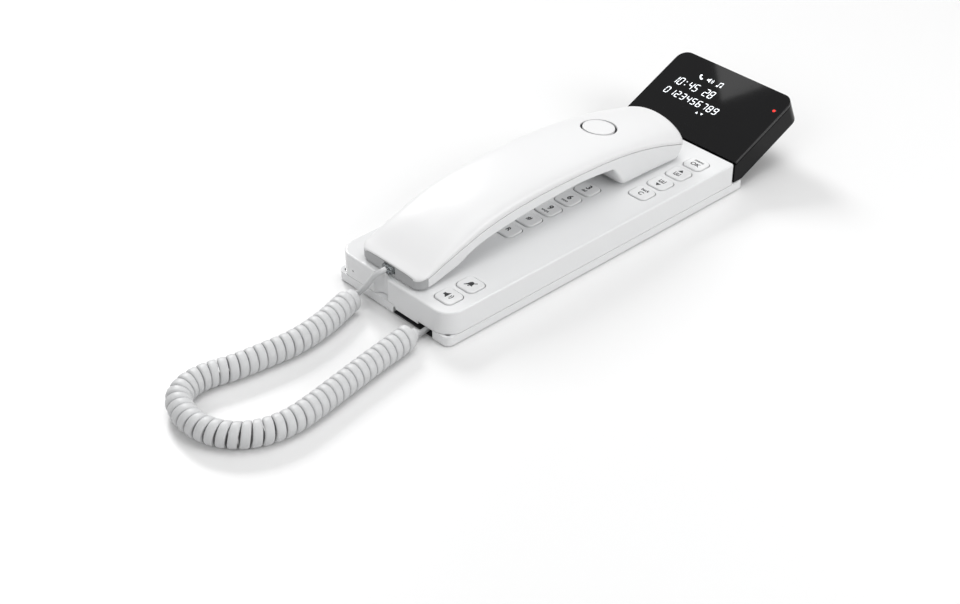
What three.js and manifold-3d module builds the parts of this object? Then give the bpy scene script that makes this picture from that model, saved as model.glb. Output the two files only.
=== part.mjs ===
// Slimline corded telephone: a flat base with a keypad, a tilting display at its far end,
// an arched handset lying over the keypad and a curly cord between the two.
// Millimetres, +Z up, +X to the user's right, +Y from the cord end to the display end.
// The origin is on the table under the middle of the phone.
import * as THREE from 'three';
import { mergeVertices } from 'three/addons/utils/BufferGeometryUtils.js';
import Module from 'manifold-3d';

const wasm = await Module();
wasm.setup();

// ---- driving dimensions -------------------------------------------------------------
const baseWidth = 88;
const baseLength = 229;
const baseHeight = 19.6; // table to the top of the cover
const housingHeight = 5.9; // table to the step between housing and cover
const footHeight = 0.8; // how far the feet hold the housing off the table
const ledgeDepth = 8.4; // housing that carries on behind the cover
const coverCornerRadius = 10.5;
const housingCornerRadius = 4;
const rearCornerRadius = 1.5;
const wall = 2;
const seam = 0.3; // between pieces that touch

const keyWidth = 12.6;
const keyDepth = 11.6;
const keyCornerRadius = 3;
const keyGroove = 0.45; // between a key and its hole
const keyProud = 0.8;
const keyTravel = 1;
const keyColumnGap = 2.6;
const keyRowGap = 3.6;
const keypadCentreX = -9;
const keypadNearY = 78.2;
const functionKeyInset = 14.3; // from the right side of the base
const functionKeyFarMargin = 16.6; // from the far end of the cover
const audioKeyInset = 13.3;
const audioKeyNearY = 13;
const flangeOverhang = 0.8;
const flangeThickness = 0.8;
const stemSize = 4;
const matThickness = 1;
const boardThickness = 1.6;

const handsetX = -4.7;
const handsetWidth = 48.4;
const handsetNearY = 3.6;
const handsetFarMargin = 15.6; // from the far end of the cover
const handsetCornerRadius = 5.5;
const handsetRestGap = 0.4; // over the cover
const handsetWall = 1.8;
const partingNearHeight = 6.2; // parting line over the cover, at the near end
const partingFarHeight = 9.8;
const partingRise = 23.6; // highest point of the parting line over the cover
const crownHeight = 7.3; // middle of the back over the parting line
const backNearHeight = 8;
const earpieceLength = 51;
const receiverInset = 19; // from the handset's far end
const mouthInset = 20.4; // from its near end

const displaySideGap = 0.6; // inside the cover's sides
const displayLength = 55.4;
const displayThickness = 15;
const displayTilt = 23.8; // degrees, raised
const displayCornerRadius = 7.3;
const displayGap = 1.6; // behind the cover
const displayRoomFrom = 9; // up the slope, past the solid nose
const heelDepth = 7.1; // least foot of the display on the ledge, behind its nose
const lensThickness = 1.8;
const lcdWidth = 56;
const lcdLength = 31;
const lcdThickness = 3.4;
const hingeLugX = 25;
const hingeLugWidth = 6;
const hingePinRadius = 1.2;
const hingePinLength = 18;
const hingeLugRadius = 3;

const coilRadius = 6.75;
const wireRadius = 1.9;
const plugWidth = 7.6;
const plugHeight = 4.4;
const plugLength = 11;
const plugClearance = 0.3;
const jackWall = 0.9;
const jackFloor = 0.4;
const baseJackX = 26.4;
const lineJackX = 9;
const bayLeftMargin = 2.6; // beside the line jack
const bayRightMargin = 0.8; // beside the cord jack
const bayDepth = 24;
const bayLipHeight = 0.9;
const baseJackY = 12;
const basePlugZ = 3.8;
const handsetPlugRise = 4.6; // over the handset's lowest face
const scoopX = -7.8;
const scoopRadius = 6.2;
const scoopDepth = 3.4;

const bossRadius = 2.7;
const bossInset = 5;
const bossNearY = 50;
const bossFarY = 140;
const screwRadius = 1.1;
const screwHeadRadius = 2.4;
const footRadius = 5;
const speakerRadius = 15;
const speakerDepth = 5;
const speakerFarMargin = 30.6; // from the far end of the cover
const slotPitch = 4;
const slotWidth = 1.4;
const receiverRadius = 11;
const receiverDepth = 6;
const microphoneRadius = 3;
const pinholeRadius = 0.6;
const ballastWidth = 44;
const ballastLength = 80;
const ballastThickness = 3;
const ballastGap = 25; // to the loudspeaker
const keyholeRadius = 4.2;
const keyholeSlot = 4.2;
const keyholeReach = 10;
const keyholeNearY = 45;
const keyholeFarY = 165;
const handsetWeightWidth = 26;
const handsetWeightLength = 50;
const handsetWeightNearY = 84;
const handsetWeightRise = 19.5; // over the handset's lowest face
const handsetWeightThickness = 2.3;

// ---- sizes that follow from them ----------------------------------------------------
const coverLength = baseLength - ledgeDepth;
const coverBottom = housingHeight + seam;
const coverInside = baseHeight - wall; // underside of the cover's top
const flangeTop = coverInside - seam;
const flangeBottom = flangeTop - flangeThickness;
const stemBottom = flangeBottom - 1.8;
const matTop = stemBottom - keyTravel - seam;
const boardTop = matTop - matThickness - seam;
const boardBottom = boardTop - boardThickness;
const floorTop = footHeight + wall;
const keyTop = baseHeight + keyProud;
const handsetBottom = baseHeight + handsetRestGap;
const columnPitch = keyWidth + keyColumnGap;
const rowPitch = keyDepth + keyRowGap;
const functionKeyX = baseWidth / 2 - functionKeyInset;
const functionKeyNearY = coverLength - functionKeyFarMargin - 3 * rowPitch;
const audioKeyX = baseWidth / 2 - audioKeyInset;
const handsetFarY = coverLength - handsetFarMargin;
const earpieceNearY = handsetFarY - earpieceLength;
const displayWidth = baseWidth - 2 * displaySideGap;
const speakerY = coverLength - speakerFarMargin;
const handsetPlugZ = handsetBottom + handsetPlugRise;
const bossX = baseWidth / 2 - bossInset;
const plugRoom = plugWidth / 2 + plugClearance; // from a jack's middle to its inner side
const plugHeadroom = plugHeight / 2 + plugClearance;
const jackHalfWidth = plugRoom + jackWall;
const bayLeftX = lineJackX - jackHalfWidth - bayLeftMargin;
const bayRightX = baseJackX + jackHalfWidth + bayRightMargin;

// ---- solids -------------------------------------------------------------------------
function toSolid(geometry) {
  const bare = geometry.clone();
  bare.deleteAttribute('normal');
  bare.deleteAttribute('uv');
  const merged = mergeVertices(bare, 1e-4);
  const mesh = new wasm.Mesh({
    numProp: 3,
    vertProperties: new Float32Array(merged.attributes.position.array),
    triVerts: new Uint32Array(merged.index.array),
  });
  return new wasm.Manifold(mesh);
}

function toGeometry(solid) {
  const mesh = solid.getMesh();
  const geometry = new THREE.BufferGeometry();
  geometry.setAttribute('position', new THREE.BufferAttribute(mesh.vertProperties, 3));
  geometry.setIndex(new THREE.BufferAttribute(mesh.triVerts, 1));
  geometry.computeVertexNormals();
  return geometry;
}

function box(x0, x1, y0, y1, z0, z1) {
  const geometry = new THREE.BoxGeometry(x1 - x0, y1 - y0, z1 - z0);
  geometry.translate((x0 + x1) / 2, (y0 + y1) / 2, (z0 + z1) / 2);
  return toSolid(geometry);
}

function post(x, y, z0, z1, radius, sides = 20) {
  const geometry = new THREE.CylinderGeometry(radius, radius, z1 - z0, sides);
  geometry.rotateX(Math.PI / 2);
  geometry.translate(x, y, (z0 + z1) / 2);
  return toSolid(geometry);
}

function pinAlongX(x0, x1, y, z, radius, sides = 16) {
  const geometry = new THREE.CylinderGeometry(radius, radius, x1 - x0, sides);
  geometry.rotateZ(Math.PI / 2);
  geometry.translate((x0 + x1) / 2, y, z);
  return toSolid(geometry);
}

// a plate seen from above, with a radius of its own for the near and for the far corners
function plate(x0, x1, y0, y1, nearRadius, farRadius, z0, z1, corner = 5) {
  const shape = new THREE.Shape();
  shape.moveTo(x0 + nearRadius, y0);
  shape.lineTo(x1 - nearRadius, y0);
  shape.absarc(x1 - nearRadius, y0 + nearRadius, nearRadius, -Math.PI / 2, 0);
  shape.lineTo(x1, y1 - farRadius);
  shape.absarc(x1 - farRadius, y1 - farRadius, farRadius, 0, Math.PI / 2);
  shape.lineTo(x0 + farRadius, y1);
  shape.absarc(x0 + farRadius, y1 - farRadius, farRadius, Math.PI / 2, Math.PI);
  shape.lineTo(x0, y0 + nearRadius);
  shape.absarc(x0 + nearRadius, y0 + nearRadius, nearRadius, Math.PI, 1.5 * Math.PI);
  const geometry = new THREE.ExtrudeGeometry(shape, {
    depth: z1 - z0, bevelEnabled: false, curveSegments: corner,
  });
  geometry.translate(0, 0, z0);
  return toSolid(geometry);
}

// a side view, given as points of (y, z), pulled out along X
function sideProfile(points, x0, x1) {
  const shape = new THREE.Shape(points);
  const geometry = new THREE.ExtrudeGeometry(shape, { depth: x1 - x0, bevelEnabled: false });
  geometry.rotateY(Math.PI / 2);
  geometry.rotateX(Math.PI / 2);
  geometry.translate(x0, 0, 0);
  return toSolid(geometry);
}

function union(...solids) {
  return solids.reduce((sum, solid) => sum.add(solid));
}

// ---- the assembly -------------------------------------------------------------------
const phone = new THREE.Group();

function place(name, solid, colour, roughness, metalness = 0) {
  const material = new THREE.MeshStandardMaterial({ color: colour, roughness, metalness });
  const geometry = solid.isBufferGeometry ? solid : toGeometry(solid);
  const mesh = new THREE.Mesh(geometry, material);
  mesh.name = name;
  phone.add(mesh);
}

const white = 0xf2f2f2;
const black = 0x101012;
const steel = 0xb9bcc0;
const green = 0x2e6b45;
const rubber = 0x3a3a3c;

// ---- keys ---------------------------------------------------------------------------
const keypadRows = ['lower', 'bottom', 'third', 'second', 'top'];
const keypadNames = {
  lower: ['redial', 'mute', 'recall'],
  bottom: ['star', '0', 'hash'],
  third: ['7', '8', '9'],
  second: ['4', '5', '6'],
  top: ['1', '2', '3'],
};
const keys = [];
keypadRows.forEach((row, rowIndex) => {
  keypadNames[row].forEach((label, column) => {
    keys.push({
      name: `key_${label}`,
      x: keypadCentreX + (column - 1) * columnPitch,
      y: keypadNearY + rowIndex * rowPitch,
    });
  });
});
['clear', 'down', 'up', 'confirm'].forEach((label, index) => {
  keys.push({ name: `key_${label}`, x: functionKeyX, y: functionKeyNearY + index * rowPitch });
});
['speaker', 'ringer'].forEach((label, index) => {
  keys.push({ name: `key_${label}`, x: audioKeyX, y: audioKeyNearY + index * rowPitch });
});

function keyPlate(key, grow, z0, z1, corner = 3) {
  const halfWidth = keyWidth / 2 + grow;
  const halfDepth = keyDepth / 2 + grow;
  const radius = keyCornerRadius + grow;
  return plate(key.x - halfWidth, key.x + halfWidth, key.y - halfDepth, key.y + halfDepth,
    radius, radius, z0, z1, corner);
}

function makeKey(key) {
  const cap = keyPlate(key, 0, flangeTop - 0.1, keyTop);
  const flange = box(
    key.x - keyWidth / 2 - flangeOverhang, key.x + keyWidth / 2 + flangeOverhang,
    key.y - keyDepth / 2 - flangeOverhang, key.y + keyDepth / 2 + flangeOverhang,
    flangeBottom, flangeTop,
  );
  const stem = box(key.x - stemSize / 2, key.x + stemSize / 2,
    key.y - stemSize / 2, key.y + stemSize / 2, stemBottom, flangeBottom + 0.1);
  return union(cap, flange, stem);
}

// ---- base: cover, housing and what they hold ---------------------------------------
const half = baseWidth / 2;
const bosses = [-1, 1].flatMap((side) => [bossNearY, bossFarY].map((y) => ({ side, x: side * bossX, y })));
const hookX = handsetX;
const hookInset = 27; // from the handset's far end
const hookY = handsetFarY - hookInset;
const hookWidth = 9;
const hookDepth = 5;
const hookGap = 0.5;
const microphoneX = -half + 13.1;
const microphoneZ = 10.8;
const webThickness = 1.6;

function scoop() {
  const geometry = new THREE.CylinderGeometry(scoopRadius, scoopRadius, 60, 20);
  geometry.rotateX(Math.PI / 2);
  geometry.translate(scoopX, scoopDepth - scoopRadius, housingHeight + 30);
  return toSolid(geometry);
}

// ties a screw boss to the wall beside it
function makeWeb(x, y, side, z0, z1) {
  const wallX = side * (half - 1);
  return box(Math.min(x, wallX), Math.max(x, wallX), y - webThickness / 2, y + webThickness / 2, z0, z1);
}

function makeCover() {
  const outside = plate(-half, half, 0, coverLength, coverCornerRadius, rearCornerRadius,
    coverBottom, baseHeight, 7);
  const inside = plate(-half + wall, half - wall, wall, coverLength - wall,
    coverCornerRadius - wall, rearCornerRadius / 2, coverBottom - 1, coverInside, 5);
  const scoopBack = new THREE.CylinderGeometry(scoopRadius + wall, scoopRadius + wall,
    coverInside + 0.5 - coverBottom, 20);
  scoopBack.rotateX(Math.PI / 2);
  scoopBack.translate(scoopX, scoopDepth - scoopRadius, (coverInside + 0.5 + coverBottom) / 2);
  const scoopWall = toSolid(scoopBack).intersect(
    box(-half, half, wall / 2, scoopDepth + wall + 1, coverBottom, baseHeight));
  let cover = outside.subtract(inside).add(scoopWall).subtract(scoop());
  bosses.forEach(({ x, y, side }) => {
    const boss = post(x, y, coverBottom + seam, coverInside + 0.5, bossRadius, 16);
    cover = cover.add(boss).add(makeWeb(x, y, side, coverBottom + seam, coverInside + 0.5));
    cover = cover.subtract(post(x, y, coverBottom, coverInside - 3, screwRadius + seam, 12));
  });
  keys.forEach((key) => {
    cover = cover.subtract(keyPlate(key, keyGroove, coverInside - 1, baseHeight + 1));
  });
  cover = cover.subtract(box(hookX - hookWidth / 2 - hookGap, hookX + hookWidth / 2 + hookGap,
    hookY - hookDepth / 2 - hookGap, hookY + hookDepth / 2 + hookGap,
    coverInside - 1, baseHeight + 1));
  const pinhole = new THREE.CylinderGeometry(pinholeRadius, pinholeRadius, 3 * wall, 10);
  pinhole.translate(microphoneX, wall / 2, microphoneZ);
  return cover.subtract(toSolid(pinhole));
}

// hinge axis of the display: a little above the ledge, over the rear edge of the housing
const tilt = THREE.MathUtils.degToRad(displayTilt);
const alongSlab = new THREE.Vector2(Math.cos(tilt), Math.sin(tilt));
const outOfSlab = new THREE.Vector2(-Math.sin(tilt), Math.cos(tilt));
const slabFoot = new THREE.Vector2(coverLength + displayGap, baseHeight);
const slabFloor = housingHeight + 0.45;

function slabPoint(along, out) {
  return slabFoot.clone().addScaledVector(alongSlab, along).addScaledVector(outOfSlab, out);
}

// the display's back runs down its slope to the heel, or to the end of a foot where the slope stops short
const backStart = slabPoint(0, -displayThickness);
const backReach = backStart.x + (slabFloor - backStart.y) / Math.tan(tilt);
const heel = new THREE.Vector2(Math.max(backReach, slabFoot.x + heelDepth), slabFloor);
const heelTop = new THREE.Vector2(heel.x, backStart.y + (heel.x - backStart.x) * Math.tan(tilt));
const hingeRise = 3.6;
const hingeLine = new THREE.Vector2(heel.x - hingeRise * Math.tan(tilt / 2), slabFloor + hingeRise);

function makeHousing() {
  const floor = plate(-half, half, 0, baseLength, housingCornerRadius, rearCornerRadius,
    footHeight, housingHeight, 5);
  const room = plate(-half + wall, half - wall, wall, coverLength - wall,
    housingCornerRadius - wall, rearCornerRadius / 2, floorTop, housingHeight + 1, 4);
  let housing = floor.subtract(room);
  bosses.forEach(({ x, y, side }) => {
    const seat = post(x, y, footHeight + 0.2, housingHeight, bossRadius + 0.5, 16);
    housing = housing.add(seat).add(makeWeb(x, y, side, footHeight + 0.2, housingHeight));
    housing = housing.subtract(post(x, y, footHeight - 1, housingHeight + 1, screwRadius + seam, 12));
    housing = housing.subtract(post(x, y, footHeight - 1, floorTop, screwHeadRadius + seam, 16));
  });
  const bay = box(bayLeftX, bayRightX, -1, bayDepth, footHeight - 1, housingHeight + 1);
  const bayLip = box(bayLeftX - 1, bayRightX + 1, 0, 1.2, housingHeight - bayLipHeight, housingHeight);
  housing = housing.subtract(bay).add(bayLip);
  for (let row = -2; row <= 2; row += 1) {
    const reach = 9 - 1.5 * Math.abs(row);
    const slotY = speakerY + row * slotPitch;
    housing = housing.subtract(box(-reach, reach, slotY - slotWidth / 2, slotY + slotWidth / 2,
      footHeight - 1, floorTop + 1));
  }
  [keyholeNearY, keyholeFarY].forEach((y) => {
    housing = housing.subtract(post(0, y, footHeight - 1, floorTop + 1, keyholeRadius, 16));
    housing = housing.subtract(box(-keyholeSlot / 2, keyholeSlot / 2, y, y + keyholeReach,
      footHeight - 1, floorTop + 1));
  });
  feet.forEach(({ x, y }) => {
    housing = housing.subtract(post(x, y, footHeight - 1, footHeight + 0.7, footRadius + seam, 20));
  });
  [-1, 1].forEach((side) => {
    const x0 = side * hingeLugX - hingeLugWidth / 2;
    const x1 = side * hingeLugX + hingeLugWidth / 2;
    const eye = pinAlongX(x0, x1, hingeLine.x, hingeLine.y, hingeLugRadius, 20);
    const root = sideProfile([
      new THREE.Vector2(hingeLine.x - hingeLugRadius - 2, housingHeight - 1),
      new THREE.Vector2(hingeLine.x + 0.3, housingHeight - 1),
      new THREE.Vector2(hingeLine.x + hingeLugRadius * 0.9, hingeLine.y - 1.3),
      new THREE.Vector2(hingeLine.x - hingeLugRadius * 0.9, hingeLine.y + 1.3),
    ], x0, x1);
    const hole = pinAlongX(x0 - 1, x1 + 1, hingeLine.x, hingeLine.y, hingePinRadius + seam, 16);
    housing = housing.add(eye).add(root).subtract(hole);
  });
  return housing;
}

const feet = [-1, 1].flatMap((side) => [13, baseLength - 16].map((y) => ({ x: side * (half - 11), y })));
// the near right foot stands beside the cord bay
feet.forEach((foot) => {
  if (foot.y < bayDepth && foot.x > 0) foot.y = bayDepth + footRadius + 3;
});

function makeFoot({ x, y }) {
  return post(x, y, 0, footHeight + 0.4, footRadius, 24);
}

function makeScrew({ x, y }) {
  const head = post(x, y, footHeight + 0.3, floorTop - 0.3, screwHeadRadius, 16);
  const shank = post(x, y, floorTop - 0.4, coverInside - 4, screwRadius, 12);
  return head.add(shank);
}

function makeBoard() {
  const board = box(-half + 13, half - 11, bayDepth + 4, coverLength - 6, boardBottom, boardTop);
  const tongue = box(lineJackX - 6, half - 8, 8, bayDepth + 4.1, boardBottom, boardTop);
  const hookSlot = box(hookX - hookWidth / 2 - 1, hookX + hookWidth / 2 + 1,
    hookY - hookDepth / 2 - 1, hookY + hookDepth / 2 + 1, boardBottom - 1, boardTop + 1);
  return board.add(tongue).subtract(hookSlot);
}

function makeMat(x0, x1, y0, y1) {
  return box(x0, x1, y0, y1, boardTop + seam, matTop);
}

const hookTravel = 2.4;
function makeHook() {
  const top = handsetBottom - seam;
  const plunger = box(hookX - hookWidth / 2, hookX + hookWidth / 2,
    hookY - hookDepth / 2, hookY + hookDepth / 2, boardBottom - 1, top);
  const shoulder = box(hookX - hookWidth / 2 - 1.5, hookX + hookWidth / 2 + 1.5,
    hookY - hookDepth / 2, hookY + hookDepth / 2, boardTop + 0.6, coverInside - hookTravel - seam);
  return plunger.add(shoulder);
}

function makeJack(x, y0, z, top) {
  const length = plugLength - 1.5;
  const body = box(x - jackHalfWidth, x + jackHalfWidth, y0, y0 + length,
    z - plugHeadroom - jackFloor, top);
  return body.subtract(box(x - plugRoom, x + plugRoom, y0 - 1, y0 + length - 1.2,
    z - plugHeadroom, z + plugHeadroom));
}

function makePlug(x, y0, z) {
  return box(x - plugWidth / 2, x + plugWidth / 2, y0, y0 + plugLength,
    z - plugHeight / 2, z + plugHeight / 2);
}

place('base_top_cover', makeCover(), white, 0.25);
place('base_bottom_housing', makeHousing(), white, 0.35);
keys.forEach((key) => place(key.name, makeKey(key), white, 0.3));
place('hook_switch_plunger', makeHook(), white, 0.4);
place('main_circuit_board', makeBoard(), green, 0.5);
const matReach = stemSize / 2 + 2; // from a key's middle to the edge of its mat
place('keypad_rubber_mat', makeMat(
  keypadCentreX - columnPitch - matReach, keypadCentreX + columnPitch + matReach,
  keypadNearY - matReach, keypadNearY + 4 * rowPitch + matReach,
), rubber, 0.8);
place('function_key_mat', makeMat(
  functionKeyX - matReach + 1, functionKeyX + matReach - 1,
  functionKeyNearY - matReach, functionKeyNearY + 3 * rowPitch + matReach,
), rubber, 0.8);
place('audio_key_mat', makeMat(
  audioKeyX - matReach, audioKeyX + matReach, audioKeyNearY - matReach, audioKeyNearY + rowPitch + matReach,
), rubber, 0.8);
bosses.forEach((boss, index) => place(`base_screw_${index + 1}`, makeScrew(boss), steel, 0.35, 0.9));
feet.forEach((foot, index) => place(`rubber_foot_${index + 1}`, makeFoot(foot), rubber, 0.9));
place('base_loudspeaker', post(0, speakerY, floorTop + seam, floorTop + seam + speakerDepth,
  speakerRadius, 28), black, 0.6);
place('base_microphone', (() => {
  const capsule = new THREE.CylinderGeometry(microphoneRadius, microphoneRadius, 5, 16);
  capsule.translate(microphoneX, wall + seam + 2.5, microphoneZ);
  return toSolid(capsule);
})(), steel, 0.4, 0.8);
const ballastFarY = speakerY - speakerRadius - ballastGap;
place('ballast_weight', box(-ballastWidth / 2, ballastWidth / 2, ballastFarY - ballastLength, ballastFarY,
  floorTop + seam, floorTop + seam + ballastThickness), steel, 0.5, 0.9);
place('base_cord_jack', makeJack(baseJackX, baseJackY, basePlugZ, boardBottom - seam), rubber, 0.5);
place('line_cord_jack', makeJack(lineJackX, baseJackY, basePlugZ, boardBottom - seam), rubber, 0.5);

// ---- display ------------------------------------------------------------------------
function slabOutline(depthFrom, depthTo, inset, along0 = 0) {
  const radius = displayCornerRadius - inset;
  const solid = plate(-displayWidth / 2 + inset, displayWidth / 2 - inset, -40, displayLength - inset,
    1, radius, -depthTo, -depthFrom, 6);
  return solid.subtract(box(-60, 60, -60, along0, -depthTo - 1, -depthFrom + 1))
    .rotate([displayTilt, 0, 0]).translate([0, slabFoot.x, slabFoot.y]);
}

// the case behind the lens: an upright nose, a heel on the ledge and a sloping back
function displayBody(depthFrom) {
  const front = slabPoint(0, -depthFrom);
  const foot = heelTop.y - heel.y > 0.01 ? [heel, heelTop] : [heel];
  const side = sideProfile([
    new THREE.Vector2(slabFoot.x, slabFloor), ...foot, slabPoint(displayLength + 1, -displayThickness),
    slabPoint(displayLength + 1, -depthFrom), front, new THREE.Vector2(slabFoot.x, front.y),
  ], -displayWidth / 2, displayWidth / 2);
  const outline = plate(-displayWidth / 2, displayWidth / 2, -40, displayLength, 1, displayCornerRadius,
    -40, 40, 6);
  return side.intersect(outline.rotate([displayTilt, 0, 0]).translate([0, slabFoot.x, slabFoot.y]));
}

function makeDisplayHousing() {
  const seat = lensThickness + seam;
  let housing = displayBody(seat);
  const room = slabOutline(seat - 1, displayThickness - wall, wall, displayRoomFrom);
  housing = housing.subtract(room);
  [-1, 1].forEach((side) => {
    const x0 = side * hingeLugX - hingeLugWidth / 2 - 0.5;
    const x1 = side * hingeLugX + hingeLugWidth / 2 + 0.5;
    housing = housing.subtract(pinAlongX(x0, x1, hingeLine.x, hingeLine.y, 6.6, 24));
    housing = housing.subtract(box(x0, x1, slabFoot.x - 1, hingeLine.x, slabFloor - 1, hingeLine.y + 6));
    const reach = hingePinLength / 2 + 0.3;
    housing = housing.subtract(pinAlongX(side * hingeLugX - reach, side * hingeLugX + reach,
      hingeLine.x, hingeLine.y, hingePinRadius + seam, 16));
  });
  return housing;
}

function makeLens() {
  return slabOutline(0, lensThickness, 0);
}

function onSlab(x0, x1, along0, along1, depth0, depth1) {
  return box(x0, x1, along0, along1, -depth1, -depth0)
    .rotate([displayTilt, 0, 0]).translate([0, slabFoot.x, slabFoot.y]);
}

const lcdX = -11.5;
const lcdAlong = 30;
const ledX = displayWidth / 2 - 5.6;
const ledAlong = 42.2;
place('display_front_lens', makeLens(), black, 0.05);
place('display_rear_housing', makeDisplayHousing(), black, 0.15);
place('lcd_module', onSlab(lcdX - lcdWidth / 2, lcdX + lcdWidth / 2, lcdAlong - lcdLength / 2,
  lcdAlong + lcdLength / 2, lensThickness + seam, lensThickness + seam + lcdThickness), black, 0.4);
const displayBoardDepth = lensThickness + lcdThickness + 3 * seam + 1.2;
place('display_circuit_board', onSlab(-displayWidth / 2 + 5.4, displayWidth / 2 - 5.4, 12, displayLength - 9,
  displayBoardDepth, displayBoardDepth + boardThickness), green, 0.5);
place('message_light_pipe', onSlab(ledX - 1.4, ledX + 1.4, ledAlong - 1.4, ledAlong + 1.4,
  lensThickness + seam, lensThickness + seam + 4), 0xc02020, 0.3);
[['left', -1], ['right', 1]].forEach(([name, side]) => {
  place(`hinge_pin_${name}`, pinAlongX(side * hingeLugX - hingePinLength / 2,
    side * hingeLugX + hingePinLength / 2, hingeLine.x, hingeLine.y, hingePinRadius, 16), steel, 0.3, 1);
});

// ---- handset ------------------------------------------------------------------------
// centre and radius of the circle that runs through three points
function circleThrough(a, b, c) {
  const d = 2 * (a.x * (b.y - c.y) + b.x * (c.y - a.y) + c.x * (a.y - b.y));
  const x = (a.lengthSq() * (b.y - c.y) + b.lengthSq() * (c.y - a.y) + c.lengthSq() * (a.y - b.y)) / d;
  const y = (a.lengthSq() * (c.x - b.x) + b.lengthSq() * (a.x - c.x) + c.lengthSq() * (b.x - a.x)) / d;
  const centre = new THREE.Vector2(x, y);
  return { centre, radius: centre.distanceTo(a) };
}

function arcHeight(circle, y) {
  return circle.centre.y + Math.sqrt(circle.radius ** 2 - (y - circle.centre.x) ** 2);
}

function arcPoints(circle, y0, y1, lift = 0, steps = 24) {
  return Array.from({ length: steps + 1 }, (_, index) => {
    const y = y0 + ((y1 - y0) * index) / steps;
    return new THREE.Vector2(y, arcHeight(circle, y) + lift);
  });
}

const handsetMiddle = handsetNearY + (handsetFarY - handsetNearY) * 0.54;
const parting = circleThrough(
  new THREE.Vector2(handsetNearY, baseHeight + partingNearHeight),
  new THREE.Vector2(handsetMiddle, baseHeight + partingRise),
  new THREE.Vector2(handsetFarY, baseHeight + partingFarHeight),
);
const backLine = circleThrough(
  new THREE.Vector2(handsetNearY, baseHeight + backNearHeight),
  new THREE.Vector2(handsetMiddle, baseHeight + partingRise + crownHeight),
  new THREE.Vector2(handsetFarY, baseHeight + partingFarHeight + crownHeight + 2),
);

function handsetPlan(inset, z0, z1) {
  return plate(handsetX - handsetWidth / 2 + inset, handsetX + handsetWidth / 2 - inset,
    handsetNearY + inset, handsetFarY - inset, handsetCornerRadius - inset,
    handsetCornerRadius - inset, z0, z1, 5);
}

// the back's crowned section swept along the parting arc, as a ring round the arc's centre
function crownRing(inset) {
  const halfWidth = handsetWidth / 2 - inset;
  const deep = parting.radius - 40;
  const points = [new THREE.Vector2(deep, -halfWidth)];
  for (let index = 0; index <= 14; index += 1) {
    const angle = Math.PI - (Math.PI * index) / 14;
    points.push(new THREE.Vector2(
      parting.radius + 0.5 + (crownHeight - inset) * Math.sin(angle), halfWidth * Math.cos(angle)));
  }
  points.push(new THREE.Vector2(deep, halfWidth), new THREE.Vector2(deep, -halfWidth));
  const ring = new THREE.LatheGeometry(points, 180);
  ring.rotateZ(-Math.PI / 2);
  ring.translate(handsetX, parting.centre.x, parting.centre.y);
  return toSolid(ring);
}

function makeHandsetBack() {
  const y0 = handsetNearY - 1;
  const y1 = handsetFarY + 1;
  const x0 = handsetX - handsetWidth;
  const x1 = handsetX + handsetWidth;
  const between = (lift, low) => sideProfile([
    ...arcPoints(parting, y0, y1, low), ...arcPoints(backLine, y0, y1, lift).reverse(),
  ], x0, x1);
  const outside = handsetPlan(0, 10, 70).intersect(crownRing(0)).intersect(between(0, seam));
  const inside = handsetPlan(handsetWall, 10, 70).intersect(crownRing(handsetWall))
    .intersect(between(-handsetWall, -2));
  const disc = post(handsetX, discY, discFloor, 70, discRadius + seam, 28);
  return outside.subtract(inside).subtract(disc).subtract(plugOpening()).subtract(jackSeat());
}

const discInset = 47; // from the handset's far end
const discY = handsetFarY - discInset;
const discRadius = 8.4;
const discThickness = 1.2;
const discTop = arcHeight(backLine, discY) - 0.4;
const discFloor = discTop - discThickness - seam;

function jackSeat() {
  const halfSeat = jackHalfWidth + seam;
  return box(handsetX - halfSeat, handsetX + halfSeat, handsetJackY - seam,
    handsetJackY + plugLength, handsetJackBottom - seam, handsetJackTop + seam);
}

function plugOpening() {
  return box(handsetX - plugWidth / 2 - 0.4, handsetX + plugWidth / 2 + 0.4, handsetNearY - 2,
    handsetNearY + 4, handsetPlugZ - plugHeight / 2 - 0.4, handsetPlugZ + plugHeight / 2 + 0.4);
}

function underside(inset) {
  const low = handsetBottom + inset;
  const curve = new THREE.SplineCurve([
    new THREE.Vector2(14, low), new THREE.Vector2(31, low + 4.4), new THREE.Vector2(45, low + 9.5),
    new THREE.Vector2(62, low + 13.4), new THREE.Vector2(90, low + 16.2),
    new THREE.Vector2(118, low + 17.2), new THREE.Vector2(142, low + 15.4),
  ]);
  return [
    new THREE.Vector2(handsetNearY + inset, low), ...curve.getPoints(22),
    new THREE.Vector2(earpieceNearY - 6 + inset, low + 13),
    new THREE.Vector2(earpieceNearY + inset, low + 0.6), new THREE.Vector2(handsetFarY - 6 - inset, low),
    new THREE.Vector2(handsetFarY - 2.6 - inset, low + 5 - inset),
    new THREE.Vector2(handsetFarY - inset, low + 9.4 - inset),
  ];
}

function faceBody(inset, lift) {
  const y0 = handsetNearY + inset;
  const y1 = handsetFarY - inset;
  return sideProfile([...underside(inset), ...arcPoints(parting, y0, y1, lift).reverse()],
    handsetX - handsetWidth, handsetX + handsetWidth);
}

function makeHandsetFace() {
  const outside = handsetPlan(0, 10, 70).intersect(faceBody(0, 0));
  const inside = handsetPlan(handsetWall, 10, 70).intersect(faceBody(handsetWall, 5));
  let face = outside.subtract(inside).subtract(plugOpening());
  for (let ring = 0; ring < 6; ring += 1) {
    const angle = (ring * Math.PI) / 3;
    face = face.subtract(post(handsetX + 5 * Math.cos(angle), receiverY + 5 * Math.sin(angle),
      handsetBottom - 1, handsetBottom + 4, 1, 8));
  }
  face = face.subtract(jackSeat());
  return face.subtract(post(handsetX, mouthY, handsetBottom - 1, handsetBottom + 4, 1, 10));
}

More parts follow.
